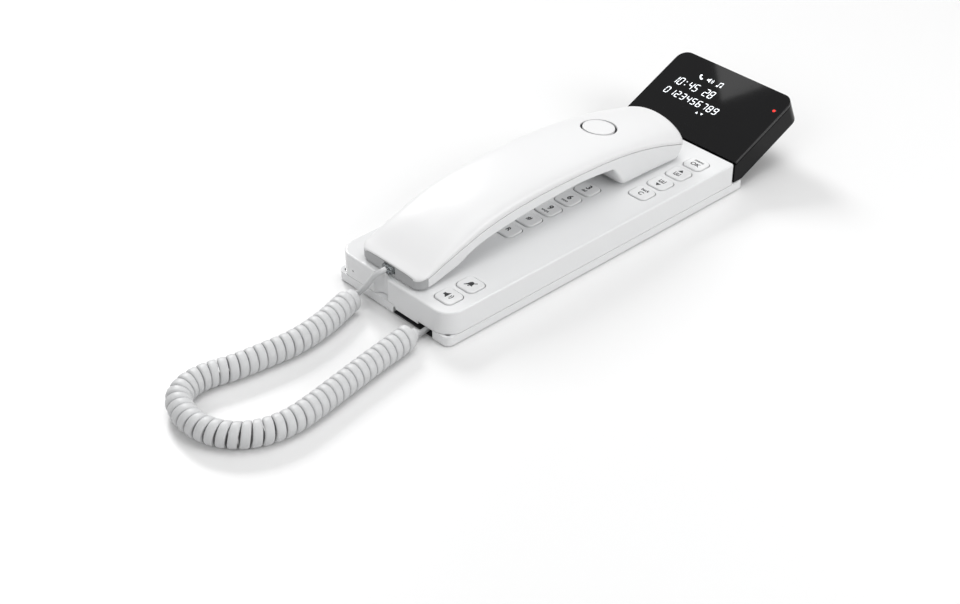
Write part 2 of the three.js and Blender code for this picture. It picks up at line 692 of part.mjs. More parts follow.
const handsetJackY = handsetNearY + 5;
const handsetJackBottom = handsetPlugZ - plugHeadroom - jackFloor;
const handsetJackTop = handsetPlugZ + plugHeadroom + jackFloor;
const receiverY = handsetFarY - receiverInset;
const mouthY = handsetNearY + mouthInset;
const receiverFloor = handsetBottom + handsetWall + 0.8;
const mouthFloor = handsetBottom + handsetWall + 3.7;
place('handset_back_shell', makeHandsetBack(), white, 0.35);
place('handset_face_shell', makeHandsetFace(), white, 0.3);
place('handset_back_disc', post(handsetX, discY, discFloor + seam, discTop, discRadius, 28), white, 0.35);
place('earpiece_receiver', post(handsetX, receiverY, receiverFloor, receiverFloor + receiverDepth,
  receiverRadius, 24), black, 0.5);
place('handset_microphone', post(handsetX, mouthY, mouthFloor, mouthFloor + 3.4, microphoneRadius, 16),
  steel, 0.4, 0.8);
const handsetWeightZ = handsetBottom + handsetWeightRise;
place('handset_weight', box(handsetX - handsetWeightWidth / 2, handsetX + handsetWeightWidth / 2,
  handsetWeightNearY, handsetWeightNearY + handsetWeightLength,
  handsetWeightZ, handsetWeightZ + handsetWeightThickness), steel, 0.5, 0.9);
place('handset_cord_jack', makeJack(handsetX, handsetJackY, handsetPlugZ, handsetJackTop), rubber, 0.5);

// ---- curly cord and its leads -------------------------------------------------------
// the route was laid out by hand: middle of the coil, lying on the table
const coilRoute = [
  [-16.6, -13.6], [-14, -21], [-10.3, -33], [-7.6, -46], [-6.5, -60], [-8, -76], [-10.5, -93],
  [-14, -107], [-13.5, -118.5], [-8, -127.5], [3, -132], [15, -132.4], [26, -128.6], [35, -121],
  [40.6, -110], [42.3, -97], [41, -84], [38.5, -70], [36, -56], [33.5, -42], [31.4, -28], [29.3, -15],
];
const coilZ = coilRadius + 0.05;
const handsetLeadRoute = [
  [-4.7, 1.1, 24.5], [-5.2, -1.2, 24.1], [-7.6, -3.6, 21.4], [-10.8, -5.2, 16.4],
  [-13.6, -6.8, 11.6], [-15.5, -9, 8.3], [-16.3, -12.1, 7.1],
];
const baseLeadRoute = [
  [26.4, 3.7, 3.4], [26.5, 0.6, 2.8], [26.9, -3, 2.8], [27.8, -7, 3.9], [28.8, -11, 5.8],
  [29.2, -14.2, 6.7],
];

function tube(route, radius, sides, steps) {
  const curve = new THREE.CatmullRomCurve3(route.map((point) => new THREE.Vector3(...point)), false,
    'centripetal');
  const shape = new THREE.Shape();
  for (let side = 0; side < sides; side += 1) {
    const angle = (2 * Math.PI * side) / sides;
    const point = [radius * Math.cos(angle), radius * Math.sin(angle)];
    if (side === 0) shape.moveTo(...point);
    else shape.lineTo(...point);
  }
  return toSolid(new THREE.ExtrudeGeometry(shape, { steps, extrudePath: curve, bevelEnabled: false }));
}

place('curly_cord_coil', tube(coilRoute.map(([x, y]) => [x, y, coilZ]), coilRadius, 10, 40), white, 0.5);
place('handset_lead', tube(handsetLeadRoute, wireRadius, 8, 12), white, 0.5);
place('base_lead', tube(baseLeadRoute, wireRadius, 8, 10), white, 0.5);
place('handset_cord_plug', makePlug(handsetX, 1.6, handsetPlugZ), 0xdfe4e6, 0.2);
place('base_cord_plug', makePlug(baseJackX, 4.1, basePlugZ), 0xdfe4e6, 0.2);

// the origin goes under the middle of the phone, from the cord end to the raised display's far edge
const overallLength = slabPoint(displayLength, -displayThickness).x;
phone.position.y = -overallLength / 2;

export default phone;
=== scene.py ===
import math
import bmesh
import bpy
from mathutils import Matrix, Vector


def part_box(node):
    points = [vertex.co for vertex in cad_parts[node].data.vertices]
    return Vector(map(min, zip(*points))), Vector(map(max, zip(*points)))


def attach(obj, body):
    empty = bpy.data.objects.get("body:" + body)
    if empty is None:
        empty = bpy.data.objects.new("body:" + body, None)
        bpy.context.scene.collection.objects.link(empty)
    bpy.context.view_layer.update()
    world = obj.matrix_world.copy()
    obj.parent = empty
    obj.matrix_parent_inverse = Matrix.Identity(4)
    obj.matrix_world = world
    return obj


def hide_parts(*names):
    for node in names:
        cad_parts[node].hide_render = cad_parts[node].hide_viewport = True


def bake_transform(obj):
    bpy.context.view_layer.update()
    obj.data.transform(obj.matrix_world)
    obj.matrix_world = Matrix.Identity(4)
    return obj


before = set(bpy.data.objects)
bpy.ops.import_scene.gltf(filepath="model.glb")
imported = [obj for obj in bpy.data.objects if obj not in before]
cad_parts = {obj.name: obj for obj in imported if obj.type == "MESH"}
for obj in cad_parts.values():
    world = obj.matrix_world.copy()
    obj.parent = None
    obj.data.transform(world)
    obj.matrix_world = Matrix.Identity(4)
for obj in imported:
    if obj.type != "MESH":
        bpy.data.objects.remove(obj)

scene = bpy.context.scene
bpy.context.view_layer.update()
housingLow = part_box("base_bottom_housing")[0]
nearY = housingLow[1]  # the cord end of the base
mm = 0.001
toRow = Matrix.Translation((0, nearY, 0)) @ Matrix.Scale(mm, 4)  # millimetres from the cord end


# camera
cameraSetup = {
    "place": (0.5763, -0.6078, 0.5304),
    "azimuth": 46.94,  # degrees, from the cord end towards the right
    "elevation": 35.3,
    "lens": 65.38,
    "shift": (-0.0101, 0.0015),
}


def makeCamera(setup):
    turn, rise = math.radians(setup["azimuth"]), math.radians(setup["elevation"])
    back = Vector((math.sin(turn) * math.cos(rise), -math.cos(turn) * math.cos(rise), math.sin(rise)))
    data = bpy.data.cameras.new("camera")
    data.lens = setup["lens"]
    data.sensor_width = 36
    data.shift_x, data.shift_y = setup["shift"]
    data.clip_start, data.clip_end = 0.05, 20
    camera = bpy.data.objects.new("camera", data)
    camera.location = setup["place"]
    camera.rotation_euler = (-back).to_track_quat("-Z", "Y").to_euler()
    scene.collection.objects.link(camera)
    scene.camera = camera


makeCamera(cameraSetup)
print("camera made")


# materials
def socket(tree, name, way, kind="NodeSocketFloat", value=None):
    made = tree.interface.new_socket(name=name, in_out=way, socket_type=kind)
    if value is not None:
        made.default_value = value
    return made


def link(tree, a, b):
    tree.links.new(a, b)


def makeMouldedSurface():
    # drift: slow change over a moulding; grain: fine spark-erosion texture; scuff: sparse fine rub marks
    tree = bpy.data.node_groups.new("mouldedSurface", "ShaderNodeTree")
    socket(tree, "Grain Size", "INPUT", value=0.0006)
    socket(tree, "Drift Size", "INPUT", value=0.05)
    socket(tree, "Drift", "OUTPUT")
    socket(tree, "Grain", "OUTPUT")
    socket(tree, "Scuff", "OUTPUT")
    inside, outside = tree.nodes.new("NodeGroupInput"), tree.nodes.new("NodeGroupOutput")
    place = tree.nodes.new("ShaderNodeTexCoord")

    def noiseOf(sizeSocket, detail, roughness):
        scale = tree.nodes.new("ShaderNodeMath")
        scale.operation = "DIVIDE"
        scale.inputs[0].default_value = 1.0
        link(tree, sizeSocket, scale.inputs[1])
        noise = tree.nodes.new("ShaderNodeTexNoise")
        noise.inputs["Detail"].default_value = detail
        noise.inputs["Roughness"].default_value = roughness
        link(tree, place.outputs["Object"], noise.inputs["Vector"])
        link(tree, scale.outputs[0], noise.inputs["Scale"])
        return noise.outputs["Fac"]

    link(tree, noiseOf(inside.outputs["Drift Size"], 3, 0.5), outside.inputs["Drift"])
    link(tree, noiseOf(inside.outputs["Grain Size"], 4, 0.6), outside.inputs["Grain"])
    stretch = tree.nodes.new("ShaderNodeMapping")
    stretch.inputs["Scale"].default_value = (1, 0.18, 1)
    stretch.inputs["Rotation"].default_value = (0, 0, 0.5)
    link(tree, place.outputs["Object"], stretch.inputs["Vector"])
    rub = tree.nodes.new("ShaderNodeTexNoise")
    rub.inputs["Scale"].default_value = 420
    rub.inputs["Detail"].default_value = 5
    link(tree, stretch.outputs[0], rub.inputs["Vector"])
    ramp = tree.nodes.new("ShaderNodeMapRange")
    ramp.inputs["From Min"].default_value = 0.62
    ramp.inputs["From Max"].default_value = 0.78
    link(tree, rub.outputs["Fac"], ramp.inputs["Value"])
    link(tree, ramp.outputs["Result"], outside.inputs["Scuff"])
    return tree


mouldedSurface = makeMouldedSurface()


def makePlastic(name, colour, otherColour, roughness, otherRoughness, grainSize=0.0006, grainDepth=0.00001,
                driftSize=0.05, scuff=0.0, metallic=0.0, coat=0.0, specular=0.5, transmission=0.0,
                emission=None, ior=1.46, subsurface=0.0):
    material = bpy.data.materials.new(name)
    material.use_nodes = True
    tree = material.node_tree
    shader = tree.nodes["Principled BSDF"]
    surface = tree.nodes.new("ShaderNodeGroup")
    surface.node_tree = mouldedSurface
    surface.inputs["Grain Size"].default_value = grainSize
    surface.inputs["Drift Size"].default_value = driftSize
    tone = tree.nodes.new("ShaderNodeMix")
    tone.data_type = "RGBA"
    tone.inputs["A"].default_value = (*colour, 1)
    tone.inputs["B"].default_value = (*otherColour, 1)
    link(tree, surface.outputs["Drift"], tone.inputs["Factor"])
    link(tree, tone.outputs["Result"], shader.inputs["Base Color"])
    rough = tree.nodes.new("ShaderNodeMapRange")
    rough.inputs["To Min"].default_value = roughness
    rough.inputs["To Max"].default_value = otherRoughness
    link(tree, surface.outputs["Drift"], rough.inputs["Value"])
    worn = tree.nodes.new("ShaderNodeMath")
    worn.operation = "MULTIPLY_ADD"
    worn.inputs[1].default_value = scuff
    link(tree, surface.outputs["Scuff"], worn.inputs[0])
    link(tree, rough.outputs["Result"], worn.inputs[2])
    link(tree, worn.outputs[0], shader.inputs["Roughness"])
    bump = tree.nodes.new("ShaderNodeBump")
    bump.inputs["Strength"].default_value = 1.0
    bump.inputs["Distance"].default_value = grainDepth
    link(tree, surface.outputs["Grain"], bump.inputs["Height"])
    link(tree, bump.outputs["Normal"], shader.inputs["Normal"])
    shader.inputs["Metallic"].default_value = metallic
    shader.inputs["Coat Weight"].default_value = coat
    shader.inputs["Specular IOR Level"].default_value = specular
    shader.inputs["Transmission Weight"].default_value = transmission
    shader.inputs["IOR"].default_value = ior
    shader.inputs["Subsurface Weight"].default_value = subsurface
    if subsurface:
        shader.inputs["Subsurface Radius"].default_value = (1, 0.9, 0.8)
        shader.inputs["Subsurface Scale"].default_value = 0.0015
    if emission:
        shader.inputs["Emission Color"].default_value = (*emission[0], 1)
        shader.inputs["Emission Strength"].default_value = emission[1]
    return material


whiteGloss = makePlastic("white_gloss_shell", (0.83, 0.835, 0.84), (0.80, 0.805, 0.81), 0.16, 0.22,
                         grainSize=0.004, grainDepth=0.000004, scuff=0.06, coat=0.25)
whiteSatin = makePlastic("white_satin_shell", (0.84, 0.84, 0.845), (0.81, 0.812, 0.815), 0.30, 0.38,
                         grainSize=0.0005, grainDepth=0.000006, scuff=0.05)
greyCap = makePlastic("grey_end_cap", (0.40, 0.405, 0.41), (0.46, 0.465, 0.47), 0.25, 0.35,
                      grainSize=0.0008, grainDepth=0.000008, driftSize=0.02)
keyWhite = makePlastic("key_cap", (0.82, 0.822, 0.825), (0.79, 0.795, 0.80), 0.34, 0.42,
                       grainSize=0.0004, grainDepth=0.000006, driftSize=0.01)
keyInk = makePlastic("key_ink", (0.02, 0.02, 0.022), (0.035, 0.035, 0.037), 0.45, 0.55, grainSize=0.0003,
                     grainDepth=0.000002)
displayGloss = makePlastic("display_gloss", (0.003, 0.003, 0.0035), (0.005, 0.005, 0.0055), 0.03, 0.05,
                           grainSize=0.006, grainDepth=0.000001, scuff=0.03, specular=0.45)
displayCase = makePlastic("display_case", (0.004, 0.004, 0.0045), (0.006, 0.006, 0.0065), 0.04, 0.06,
                          grainSize=0.003, grainDepth=0.000002, scuff=0.04, specular=0.12)
displaySegment = makePlastic("display_segment", (0.85, 0.87, 0.88), (0.75, 0.78, 0.80), 0.4, 0.5,
                             driftSize=0.004, emission=((0.9, 0.95, 1.0), 0.85))
blackPlastic = makePlastic("black_plastic", (0.02, 0.02, 0.022), (0.03, 0.03, 0.032), 0.45, 0.6,
                           grainDepth=0.00002)
circuitBoard = makePlastic("circuit_board", (0.02, 0.10, 0.045), (0.03, 0.16, 0.07), 0.3, 0.5,
                           grainSize=0.002, grainDepth=0.00002, driftSize=0.006)
greyRubber = makePlastic("grey_rubber", (0.06, 0.06, 0.065), (0.085, 0.085, 0.09), 0.7, 0.85,
                         grainSize=0.0008, grainDepth=0.00003, driftSize=0.02)
steelMetal = makePlastic("steel", (0.55, 0.56, 0.58), (0.45, 0.46, 0.48), 0.28, 0.42,
                         grainSize=0.001, grainDepth=0.00001, driftSize=0.01, metallic=1.0)
goldContact = makePlastic("gold_contact", (0.75, 0.52, 0.2), (0.65, 0.45, 0.18), 0.25, 0.35,
                          metallic=1.0, driftSize=0.004)
redLight = makePlastic("red_light_pipe", (0.7, 0.02, 0.02), (0.55, 0.01, 0.01), 0.15, 0.25,
                       driftSize=0.002, emission=((1.0, 0.04, 0.03), 1.6))
cordJacket = makePlastic("cord_jacket", (0.66, 0.665, 0.67), (0.61, 0.615, 0.62), 0.38, 0.5,
                         grainSize=0.0012, grainDepth=0.00004, driftSize=0.03, scuff=0.08)
clearPlug = makePlastic("clear_plug", (0.9, 0.93, 0.94), (0.82, 0.86, 0.88), 0.05, 0.15,
                        grainSize=0.003, grainDepth=0.00001, driftSize=0.006, transmission=0.9)
print("materials made")


# modelling helpers
def block(x0, x1, y0, y1, z0, z1):
    bm = bmesh.new()
    middle = Matrix.Translation(((x0 + x1) / 2, (y0 + y1) / 2, (z0 + z1) / 2))
    size = Matrix.Diagonal((x1 - x0, y1 - y0, z1 - z0, 1))
    bmesh.ops.create_cube(bm, size=1, matrix=middle @ size)
    return bm


def rod(centre, radius, length, axis="Z", sides=32, topRadius=None):
    bm = bmesh.new()
    turn = {"X": Matrix.Rotation(math.pi / 2, 4, "Y"), "Y": Matrix.Rotation(math.pi / 2, 4, "X"),
            "Z": Matrix.Identity(4)}[axis]
    bmesh.ops.create_cone(bm, cap_ends=True, cap_tris=False, segments=sides, radius1=radius,
                          radius2=radius if topRadius is None else topRadius, depth=length,
                          matrix=Matrix.Translation(centre) @ turn)
    return bm


def roundEdges(bm, radius, segments, choose):
    edges = [e for e in bm.edges if choose(e.verts[0].co, e.verts[1].co)]
    bmesh.ops.bevel(bm, geom=edges, offset=radius, offset_type="OFFSET", affect="EDGES",
                    segments=segments, profile=0.5, material=-1, clamp_overlap=True)


def upright(a, b):
    return abs(a.x - b.x) < 1e-4 and abs(a.y - b.y) < 1e-4


def slab(x0, x1, y0, y1, nearRadius, farRadius, z0, z1, segments=12):
    # a plate with upright corners rounded, seen from above
    bm = block(x0, x1, y0, y1, z0, z1)
    middle = (y0 + y1) / 2
    if nearRadius == farRadius:
        roundEdges(bm, nearRadius, segments, upright)
        return bm
    if nearRadius:
        roundEdges(bm, nearRadius, segments, lambda a, b: upright(a, b) and a.y < middle)
    if farRadius:
        roundEdges(bm, farRadius, segments, lambda a, b: upright(a, b) and a.y > middle)
    return bm


def atHeight(z):
    return lambda a, b: abs(a.z - z) < 1e-3 and abs(b.z - z) < 1e-3


def gather(*parts):
    whole = bmesh.new()
    for part in parts:
        holder = bpy.data.meshes.new("holder")
        part.to_mesh(holder)
        part.free()
        whole.from_mesh(holder)
        bpy.data.meshes.remove(holder)
    return whole


def carve(bm, cutter, operation="DIFFERENCE"):
    # one boolean of two solids, handed back as a new mesh
    holders = []
    for source in (bm, cutter):
        mesh = bpy.data.meshes.new("holder")
        source.to_mesh(mesh)
        source.free()
        holder = bpy.data.objects.new("holder", mesh)
        scene.collection.objects.link(holder)
        holders.append(holder)
    boolean = holders[0].modifiers.new("boolean", "BOOLEAN")
    boolean.operation = operation
    boolean.solver = "EXACT"
    boolean.use_self = True
    boolean.object = holders[1]
    result = bmesh.new()
    result.from_object(holders[0], bpy.context.evaluated_depsgraph_get())
    for holder in holders:
        mesh = holder.data
        bpy.data.objects.remove(holder)
        bpy.data.meshes.remove(mesh)
    bmesh.ops.remove_doubles(result, verts=result.verts, dist=1e-4)
    bmesh.ops.dissolve_degenerate(result, edges=result.edges, dist=1e-4)
    return result


def finishPiece(bm, name, body, materials, replaced=(), sharpAngle=38, edge=0.0, edgeSegments=2,
                weighted=True):
    bmesh.ops.transform(bm, matrix=toRow, verts=bm.verts)
    for face in bm.faces:
        face.smooth = True
    mesh = bpy.data.meshes.new(name)
    bm.to_mesh(mesh)
    bm.free()
    mesh.set_sharp_from_angle(angle=math.radians(sharpAngle))
    for material in materials:
        mesh.materials.append(material)
    piece = bpy.data.objects.new(name, mesh)
    scene.collection.objects.link(piece)
    if edge:
        bevel = piece.modifiers.new("edge", "BEVEL")
        bevel.width = edge * mm
        bevel.segments = edgeSegments
        bevel.limit_method = "ANGLE"
        bevel.angle_limit = math.radians(sharpAngle)
        bevel.use_clamp_overlap = True
    if weighted:
        piece.modifiers.new("flat faces", "WEIGHTED_NORMAL").keep_sharp = True
    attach(piece, body)
    if replaced:
        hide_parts(*replaced)
    return piece


# curly cord
cord = {
    "coilRoute": [(28.2, -9.0), (31.0, -26), (33.5, -42), (36, -56), (38.5, -70), (41, -84), (42.3, -97),
                  (40.6, -110), (35, -121), (26, -128.6), (15, -132.4), (3, -132), (-8, -127.5),
                  (-13.5, -118.5), (-14, -107), (-10.5, -93), (-8, -76), (-6.5, -60), (-7.6, -46),
                  (-10.3, -33), (-14.4, -20), (-17.2, -10.4)],
    "baseLead": [(26.4, 3.7, 3.4), (26.5, 0.6, 2.8), (26.8, -2.2, 2.8), (27.3, -4.6, 3.8), (27.9, -7, 5.8)],
    "handsetLead": [(-17.2, -9.0, 7.3), (-16.0, -7.2, 8.8), (-13.6, -6.2, 12.0), (-10.8, -5.2, 16.4),
                    (-7.6, -3.6, 21.4), (-5.2, -1.2, 24.1), (-4.7, 1.1, 24.5)],
    "turns": 56,
    "pointsPerTurn": 26,
    "coilHeight": 6.8,  # middle of the coil over the table
    "windingRadius": 5.45,  # to the middle of the wire
    "halfWidth": 2.4,  # the wire is a flat oval
    "halfThickness": 1.3,
    "leadHalfWidth": 1.5,
    "sides": 14,
    "squareness": 0.62,  # 1 is an ellipse, less is flatter
    "fill": 0.462,  # half the share of one turn that the wire takes up
}


def smoothRoute(points, spacing):
    # Catmull-Rom through the points, then walked at even steps
    points = [Vector(p) for p in points]
    padded = [2 * points[0] - points[1], *points, 2 * points[-1] - points[-2]]
    dense = []
    for a, b, c, d in zip(padded, padded[1:], padded[2:], padded[3:]):
        for step in range(40):
            t = step / 40
            dense.append(0.5 * (2 * b + (c - a) * t + (2 * a - 5 * b + 4 * c - d) * t * t
                                + (3 * b - a - 3 * c + d) * t ** 3))
    dense.append(points[-1])
    walked, travelled = [dense[0]], 0.0
    for a, b in zip(dense, dense[1:]):
        gap = (b - a).length
        while travelled + gap >= spacing:
            a = a.lerp(b, (spacing - travelled) / gap)
            walked.append(a)
            gap, travelled = (b - a).length, 0.0
        travelled += gap
    return walked


def ease(t):
    t = min(max(t, 0.0), 1.0)
    return t * t * (3 - 2 * t)


def layCord(spec):
    # the wire's middle line: lead, winding, lead, with the way its flat side faces
    axis = smoothRoute([(x, y, spec["coilHeight"]) for x, y in spec["coilRoute"]], 0.25)
    steps = spec["turns"] * spec["pointsPerTurn"]
    last = len(axis) - 1
    winding, facing = [], []
    for step in range(steps + 1):
        along = step / steps * last
        low = min(int(along), last - 1)
        centre = axis[low].lerp(axis[low + 1], along - low)
        heading = (axis[min(low + 6, last)] - axis[max(low - 5, 0)]).normalized()
        side = heading.cross(Vector((0, 0, 1))).normalized()
        angle = 2 * math.pi * spec["turns"] * step / steps
        out = side * math.cos(angle) + Vector((0, 0, 1)) * math.sin(angle)
        fromEnd = min(step, steps - step) / spec["pointsPerTurn"]
        radius = spec["windingRadius"] * (0.12 + 0.88 * ease(fromEnd / 1.1))
        winding.append(centre + out * radius)
        facing.append(out)
    lead = smoothRoute([*spec["baseLead"], winding[0]], 0.8)
    tail = smoothRoute([winding[-1], *spec["handsetLead"]], 0.8)
    clear = 1.3  # keeps the joins' points as far apart as the others
    lead = [p for p in lead if (p - winding[0]).length > clear]
    tail = [p for p in tail if (p - winding[-1]).length > clear]
    return lead, winding, tail, facing


def sweepWire(spec):
    lead, winding, tail, facing = layCord(spec)
    path = [*lead, *winding, *tail]
    first = len(lead)
    headings = [(path[min(i + 1, len(path) - 1)] - path[max(i - 1, 0)]).normalized()
                for i in range(len(path))]
    outs = [None] * len(path)
    for index, out in enumerate(facing):
        outs[first + index] = out
    for index in range(first - 1, -1, -1):  # the leads carry the winding's direction on
        outs[index] = outs[index + 1]
    for index in range(first + len(winding), len(path)):
        outs[index] = outs[index - 1]
    carried = outs[first]
    for index in range(first, -1, -1):
        carried = (carried - headings[index] * carried.dot(headings[index])).normalized()
        outs[index] = carried
    carried = outs[first + len(winding) - 1]
    for index in range(first + len(winding) - 1, len(path)):
        carried = (carried - headings[index] * carried.dot(headings[index])).normalized()
        outs[index] = carried
    turn = spec["pointsPerTurn"]
    bm = bmesh.new()
    ring = bmesh.ops.create_circle(bm, cap_ends=False, segments=spec["sides"], radius=1)["verts"]
    edges = list(bm.edges)
    angles = [2 * math.pi * k / spec["sides"] for k in range(spec["sides"])]
    for index, (point, heading, out) in enumerate(zip(path, headings, outs)):
        out = (out - heading * out.dot(heading)).normalized()
        wide = heading.cross(out)
        inWinding = index - first
        gap = 2 * spec["halfWidth"] + 1
        for other in (index - turn, index + turn):
            if first <= index < first + len(winding) and first <= other < first + len(winding):
                gap = min(gap, (path[other] - point).length)
        halfWidth = min(spec["halfWidth"], spec["fill"] * gap)
        if not 0 <= inWinding < len(winding):
            halfWidth = spec["leadHalfWidth"]
        if index:
            made = bmesh.ops.extrude_edge_only(bm, edges=edges)["geom"]
            fresh = {v for v in made if isinstance(v, bmesh.types.BMVert)}
            ring = [next(e.other_vert(v) for e in v.link_edges if e.other_vert(v) in fresh) for v in ring]
            edges = [bm.edges.get((ring[k - 1], ring[k])) for k in range(len(ring))]
        for vert, angle in zip(ring, angles):
            across, through = math.cos(angle), math.sin(angle)
            vert.co = (point + wide * halfWidth * math.copysign(abs(across) ** spec["squareness"], across)
                       + out * spec["halfThickness"] * math.copysign(abs(through) ** spec["squareness"], through))
    bmesh.ops.holes_fill(bm, edges=[e for e in bm.edges if e.is_boundary], sides=0)
    bmesh.ops.recalc_face_normals(bm, faces=bm.faces)
    return bm, path


def makeCord(spec):
    bm, path = sweepWire(spec)
    bmesh.ops.transform(bm, matrix=toRow, verts=bm.verts)
    for face in bm.faces:
        face.smooth = True
    mesh = bpy.data.meshes.new("curly_cord")
    bm.to_mesh(mesh)
    bm.free()
    mesh.materials.append(cordJacket)
    piece = bpy.data.objects.new("curly_cord", mesh)
    scene.collection.objects.link(piece)
    rowPath = [toRow @ p for p in path]
    length = sum((b - a).length for a, b in zip(rowPath, rowPath[1:]))
    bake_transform(piece)
    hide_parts("curly_cord_coil", "handset_lead", "base_lead")
    print("cord made, measured length", round(length, 3))




def nodeBox(name):
    # a CAD node's corners in millimetres from the cord end
    back = toRow.inverted()
    low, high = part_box(name)
    return back @ Vector(low), back @ Vector(high)


def nodeMiddle(name):
    low, high = nodeBox(name)
    return (low + high) / 2


# base
coverLow, coverHigh = nodeBox("base_top_cover")
housingHigh = nodeBox("base_bottom_housing")[1]
keyNames = [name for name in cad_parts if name.startswith("key_")]

base = {
    "half": coverHigh.x,
    "coverFar": coverHigh.y,
    "top": coverHigh.z,
    "step": 5.9,  # top of the housing, where the cover starts
    "floor": 0.8,
    "length": 229.0,
    "wall": 2.0,
    "coverCorner": 10.5,
    "housingCorner": 4.0,
    "topEdge": 1.1,
    "scoop": (-7.8, 6.2, 3.4),  # middle, radius, depth
    "pinhole": (-30.9, 10.8, 0.6),
    "bay": (1.4, 32.2, 24.0),  # left, right, depth
    # reach and end of the black sheets of painted shade in the cord bay
    "bayShadeDepth": 11.8,
    "bayShadeBreak": 22.0,
    "keyGap": 0.55,
    "keySize": (12.6, 11.6, 3.0),
    "hook": (9.0, 5.0, 0.5),
    "lugX": 25.0,
    "hinge": (228.57, 9.95),
    "keyholes": (45.0, 165.0),
    "speaker": (190.0, 15.0),
}


def makeCover(spec):
    half, top, wall = spec["half"], spec["top"], spec["wall"]
    far = spec["coverFar"]
    bm = slab(-half, half, 0, far, spec["coverCorner"], 1.5, spec["step"] + 0.3, top, 16)
    roundEdges(bm, spec["topEdge"], 5, atHeight(top))
    bm = carve(bm, slab(-half + wall, half - wall, wall, far - wall, spec["coverCorner"] - wall, 0.8,
                        spec["step"] - 1, top - wall, 10))
    scoopX, scoopRadius, scoopDepth = spec["scoop"]
    guard = carve(rod((scoopX, scoopDepth - scoopRadius, 12.2), scoopRadius + wall, 11.8, sides=48),
                  block(-half, half, -20, wall / 2, 0, 30))
    bm = carve(bm, guard, "UNION")
    width, depth, corner = spec["keySize"]
    gap = spec["keyGap"]
    cutters = [rod((scoopX, scoopDepth - scoopRadius, 20), scoopRadius, 40, sides=64)]
    for name in keyNames:
        place = nodeMiddle(name)
        cutters.append(slab(place.x - width / 2 - gap, place.x + width / 2 + gap, place.y - depth / 2 - gap,
                            place.y + depth / 2 + gap, corner + gap, corner + gap, top - wall - 1, top + 1, 7))
    hookWidth, hookDepth, hookGap = spec["hook"]
    hook = nodeMiddle("hook_switch_plunger")
    cutters.append(slab(hook.x - hookWidth / 2 - hookGap, hook.x + hookWidth / 2 + hookGap,
                        hook.y - hookDepth / 2 - hookGap, hook.y + hookDepth / 2 + hookGap, 1, 1,
                        top - wall - 1, top + 1, 4))
    holeX, holeZ, holeRadius = spec["pinhole"]
    cutters.append(rod((holeX, 1, holeZ), holeRadius, 6, axis="Y", sides=16))
    bm = carve(bm, gather(*cutters))
    finishPiece(bm, "cover_shell", "base", [whiteGloss], ["base_top_cover"],
                edge=0.28, sharpAngle=42)


def makeHousing(spec):
    half, low, top, wall = spec["half"], spec["floor"], spec["step"], spec["wall"]
    bm = slab(-half, half, 0, spec["length"], spec["housingCorner"], 1.5, low, top, 10)
    bayLeft, bayRight, bayDepth = spec["bay"]
    room = slab(-half + wall, half - wall, wall, spec["coverFar"] - wall, spec["housingCorner"] - wall, 0.8,
                low + wall, top + 3, 8)
    bm = carve(bm, room)
    bm = carve(bm, block(bayLeft, bayRight, -3, bayDepth, -2, top + 3))
    cutters = []
    for y in spec["keyholes"]:
        cutters.append(carve(rod((0, y, 1.5), 4.2, 6, sides=32), block(-2.1, 2.1, y, y + 10, -1.5, 4.5), "UNION"))
    speakerY = spec["speaker"][0]
    for row in range(-2, 3):
        reach = 9 - 1.5 * abs(row)
        y = speakerY + 4 * row
        cutters.append(slab(-reach, reach, y - 0.7, y + 0.7, 0.65, 0.65, -1, 5, 4))
    for index in range(1, 5):
        foot, screw = nodeMiddle(f"rubber_foot_{index}"), nodeMiddle(f"base_screw_{index}")
        cutters.append(rod((foot.x, foot.y, 0), 5.3, 3.0, sides=40))
        cutters.append(rod((screw.x, screw.y, 0.8), 2.7, 3.6, sides=28))
        cutters.append(rod((screw.x, screw.y, 3), 1.4, 6, sides=20))
    bm = carve(bm, gather(*cutters))
    hingeY, hingeZ = spec["hinge"]
    for side in (-1, 1):
        x = side * spec["lugX"]
        eye = rod((x, hingeY, hingeZ), 3, 6, axis="X", sides=36)
        root = block(x - 3, x + 3, hingeY - 4.2, hingeY + 0.3, top - 1, hingeZ)
        lug = carve(carve(eye, root, "UNION"), rod((x, hingeY, hingeZ), 1.5, 8, axis="X", sides=28))
        bm = carve(bm, lug, "UNION")
    scoopX, scoopRadius, scoopDepth = spec["scoop"]
    for pad in (block(scoopX - scoopRadius - 1, scoopX + scoopRadius + 1, 0.5, scoopDepth + 2.2, top - 1.6, top - 0.01),
                block(bayLeft - 1, bayRight + 1, 0.45, 1.7, top - 0.9, top - 0.015),
                block(bayLeft + 1.6, bayRight - 11.4, 0.3, 1.8, top - 2.3, top - 0.02),
                block(bayLeft - 1.2, bayLeft + 0.8, 0.2, 1.9, top - 1.5, top - 0.03)):
        bm = carve(bm, pad, "UNION")
    finishPiece(bm, "housing_tray", "base", [whiteGloss], ["base_bottom_housing"],
                edge=0.25, sharpAngle=42)


def makeBayShade(spec):
    # black sheets on the floor, ceiling, sides and back of the cord bay behind its lip: painted shade that darkens the
    # bay, whose real walls are the white housing plastic
    left, right, _ = spec["bay"]
    depth, floor, ceiling = spec["bayShadeDepth"], spec["floor"] + 0.05, spec["step"] + 0.2
    parts = [block(left + 0.1, right - 0.1, 0.25, depth, floor, floor + 0.35),
             block(left + 0.1, right - 0.1, spec["wall"] + 0.1, depth, ceiling, ceiling + 0.5),
             block(left + 0.1, left + 0.6, 1.9, depth, floor + 0.3, ceiling + 0.1),
             block(right - 0.6, right - 0.1, 1.9, depth, floor + 0.3, ceiling + 0.1),
             block(left + 0.5, spec["bayShadeBreak"], depth - 0.5, depth, floor + 0.3, ceiling + 0.1)]
    finishPiece(gather(*parts), "bay_painted_shade", "base", [blackPlastic], weighted=False)


makeCover(base)
makeHousing(base)
makeBayShade(base)
print("base made")

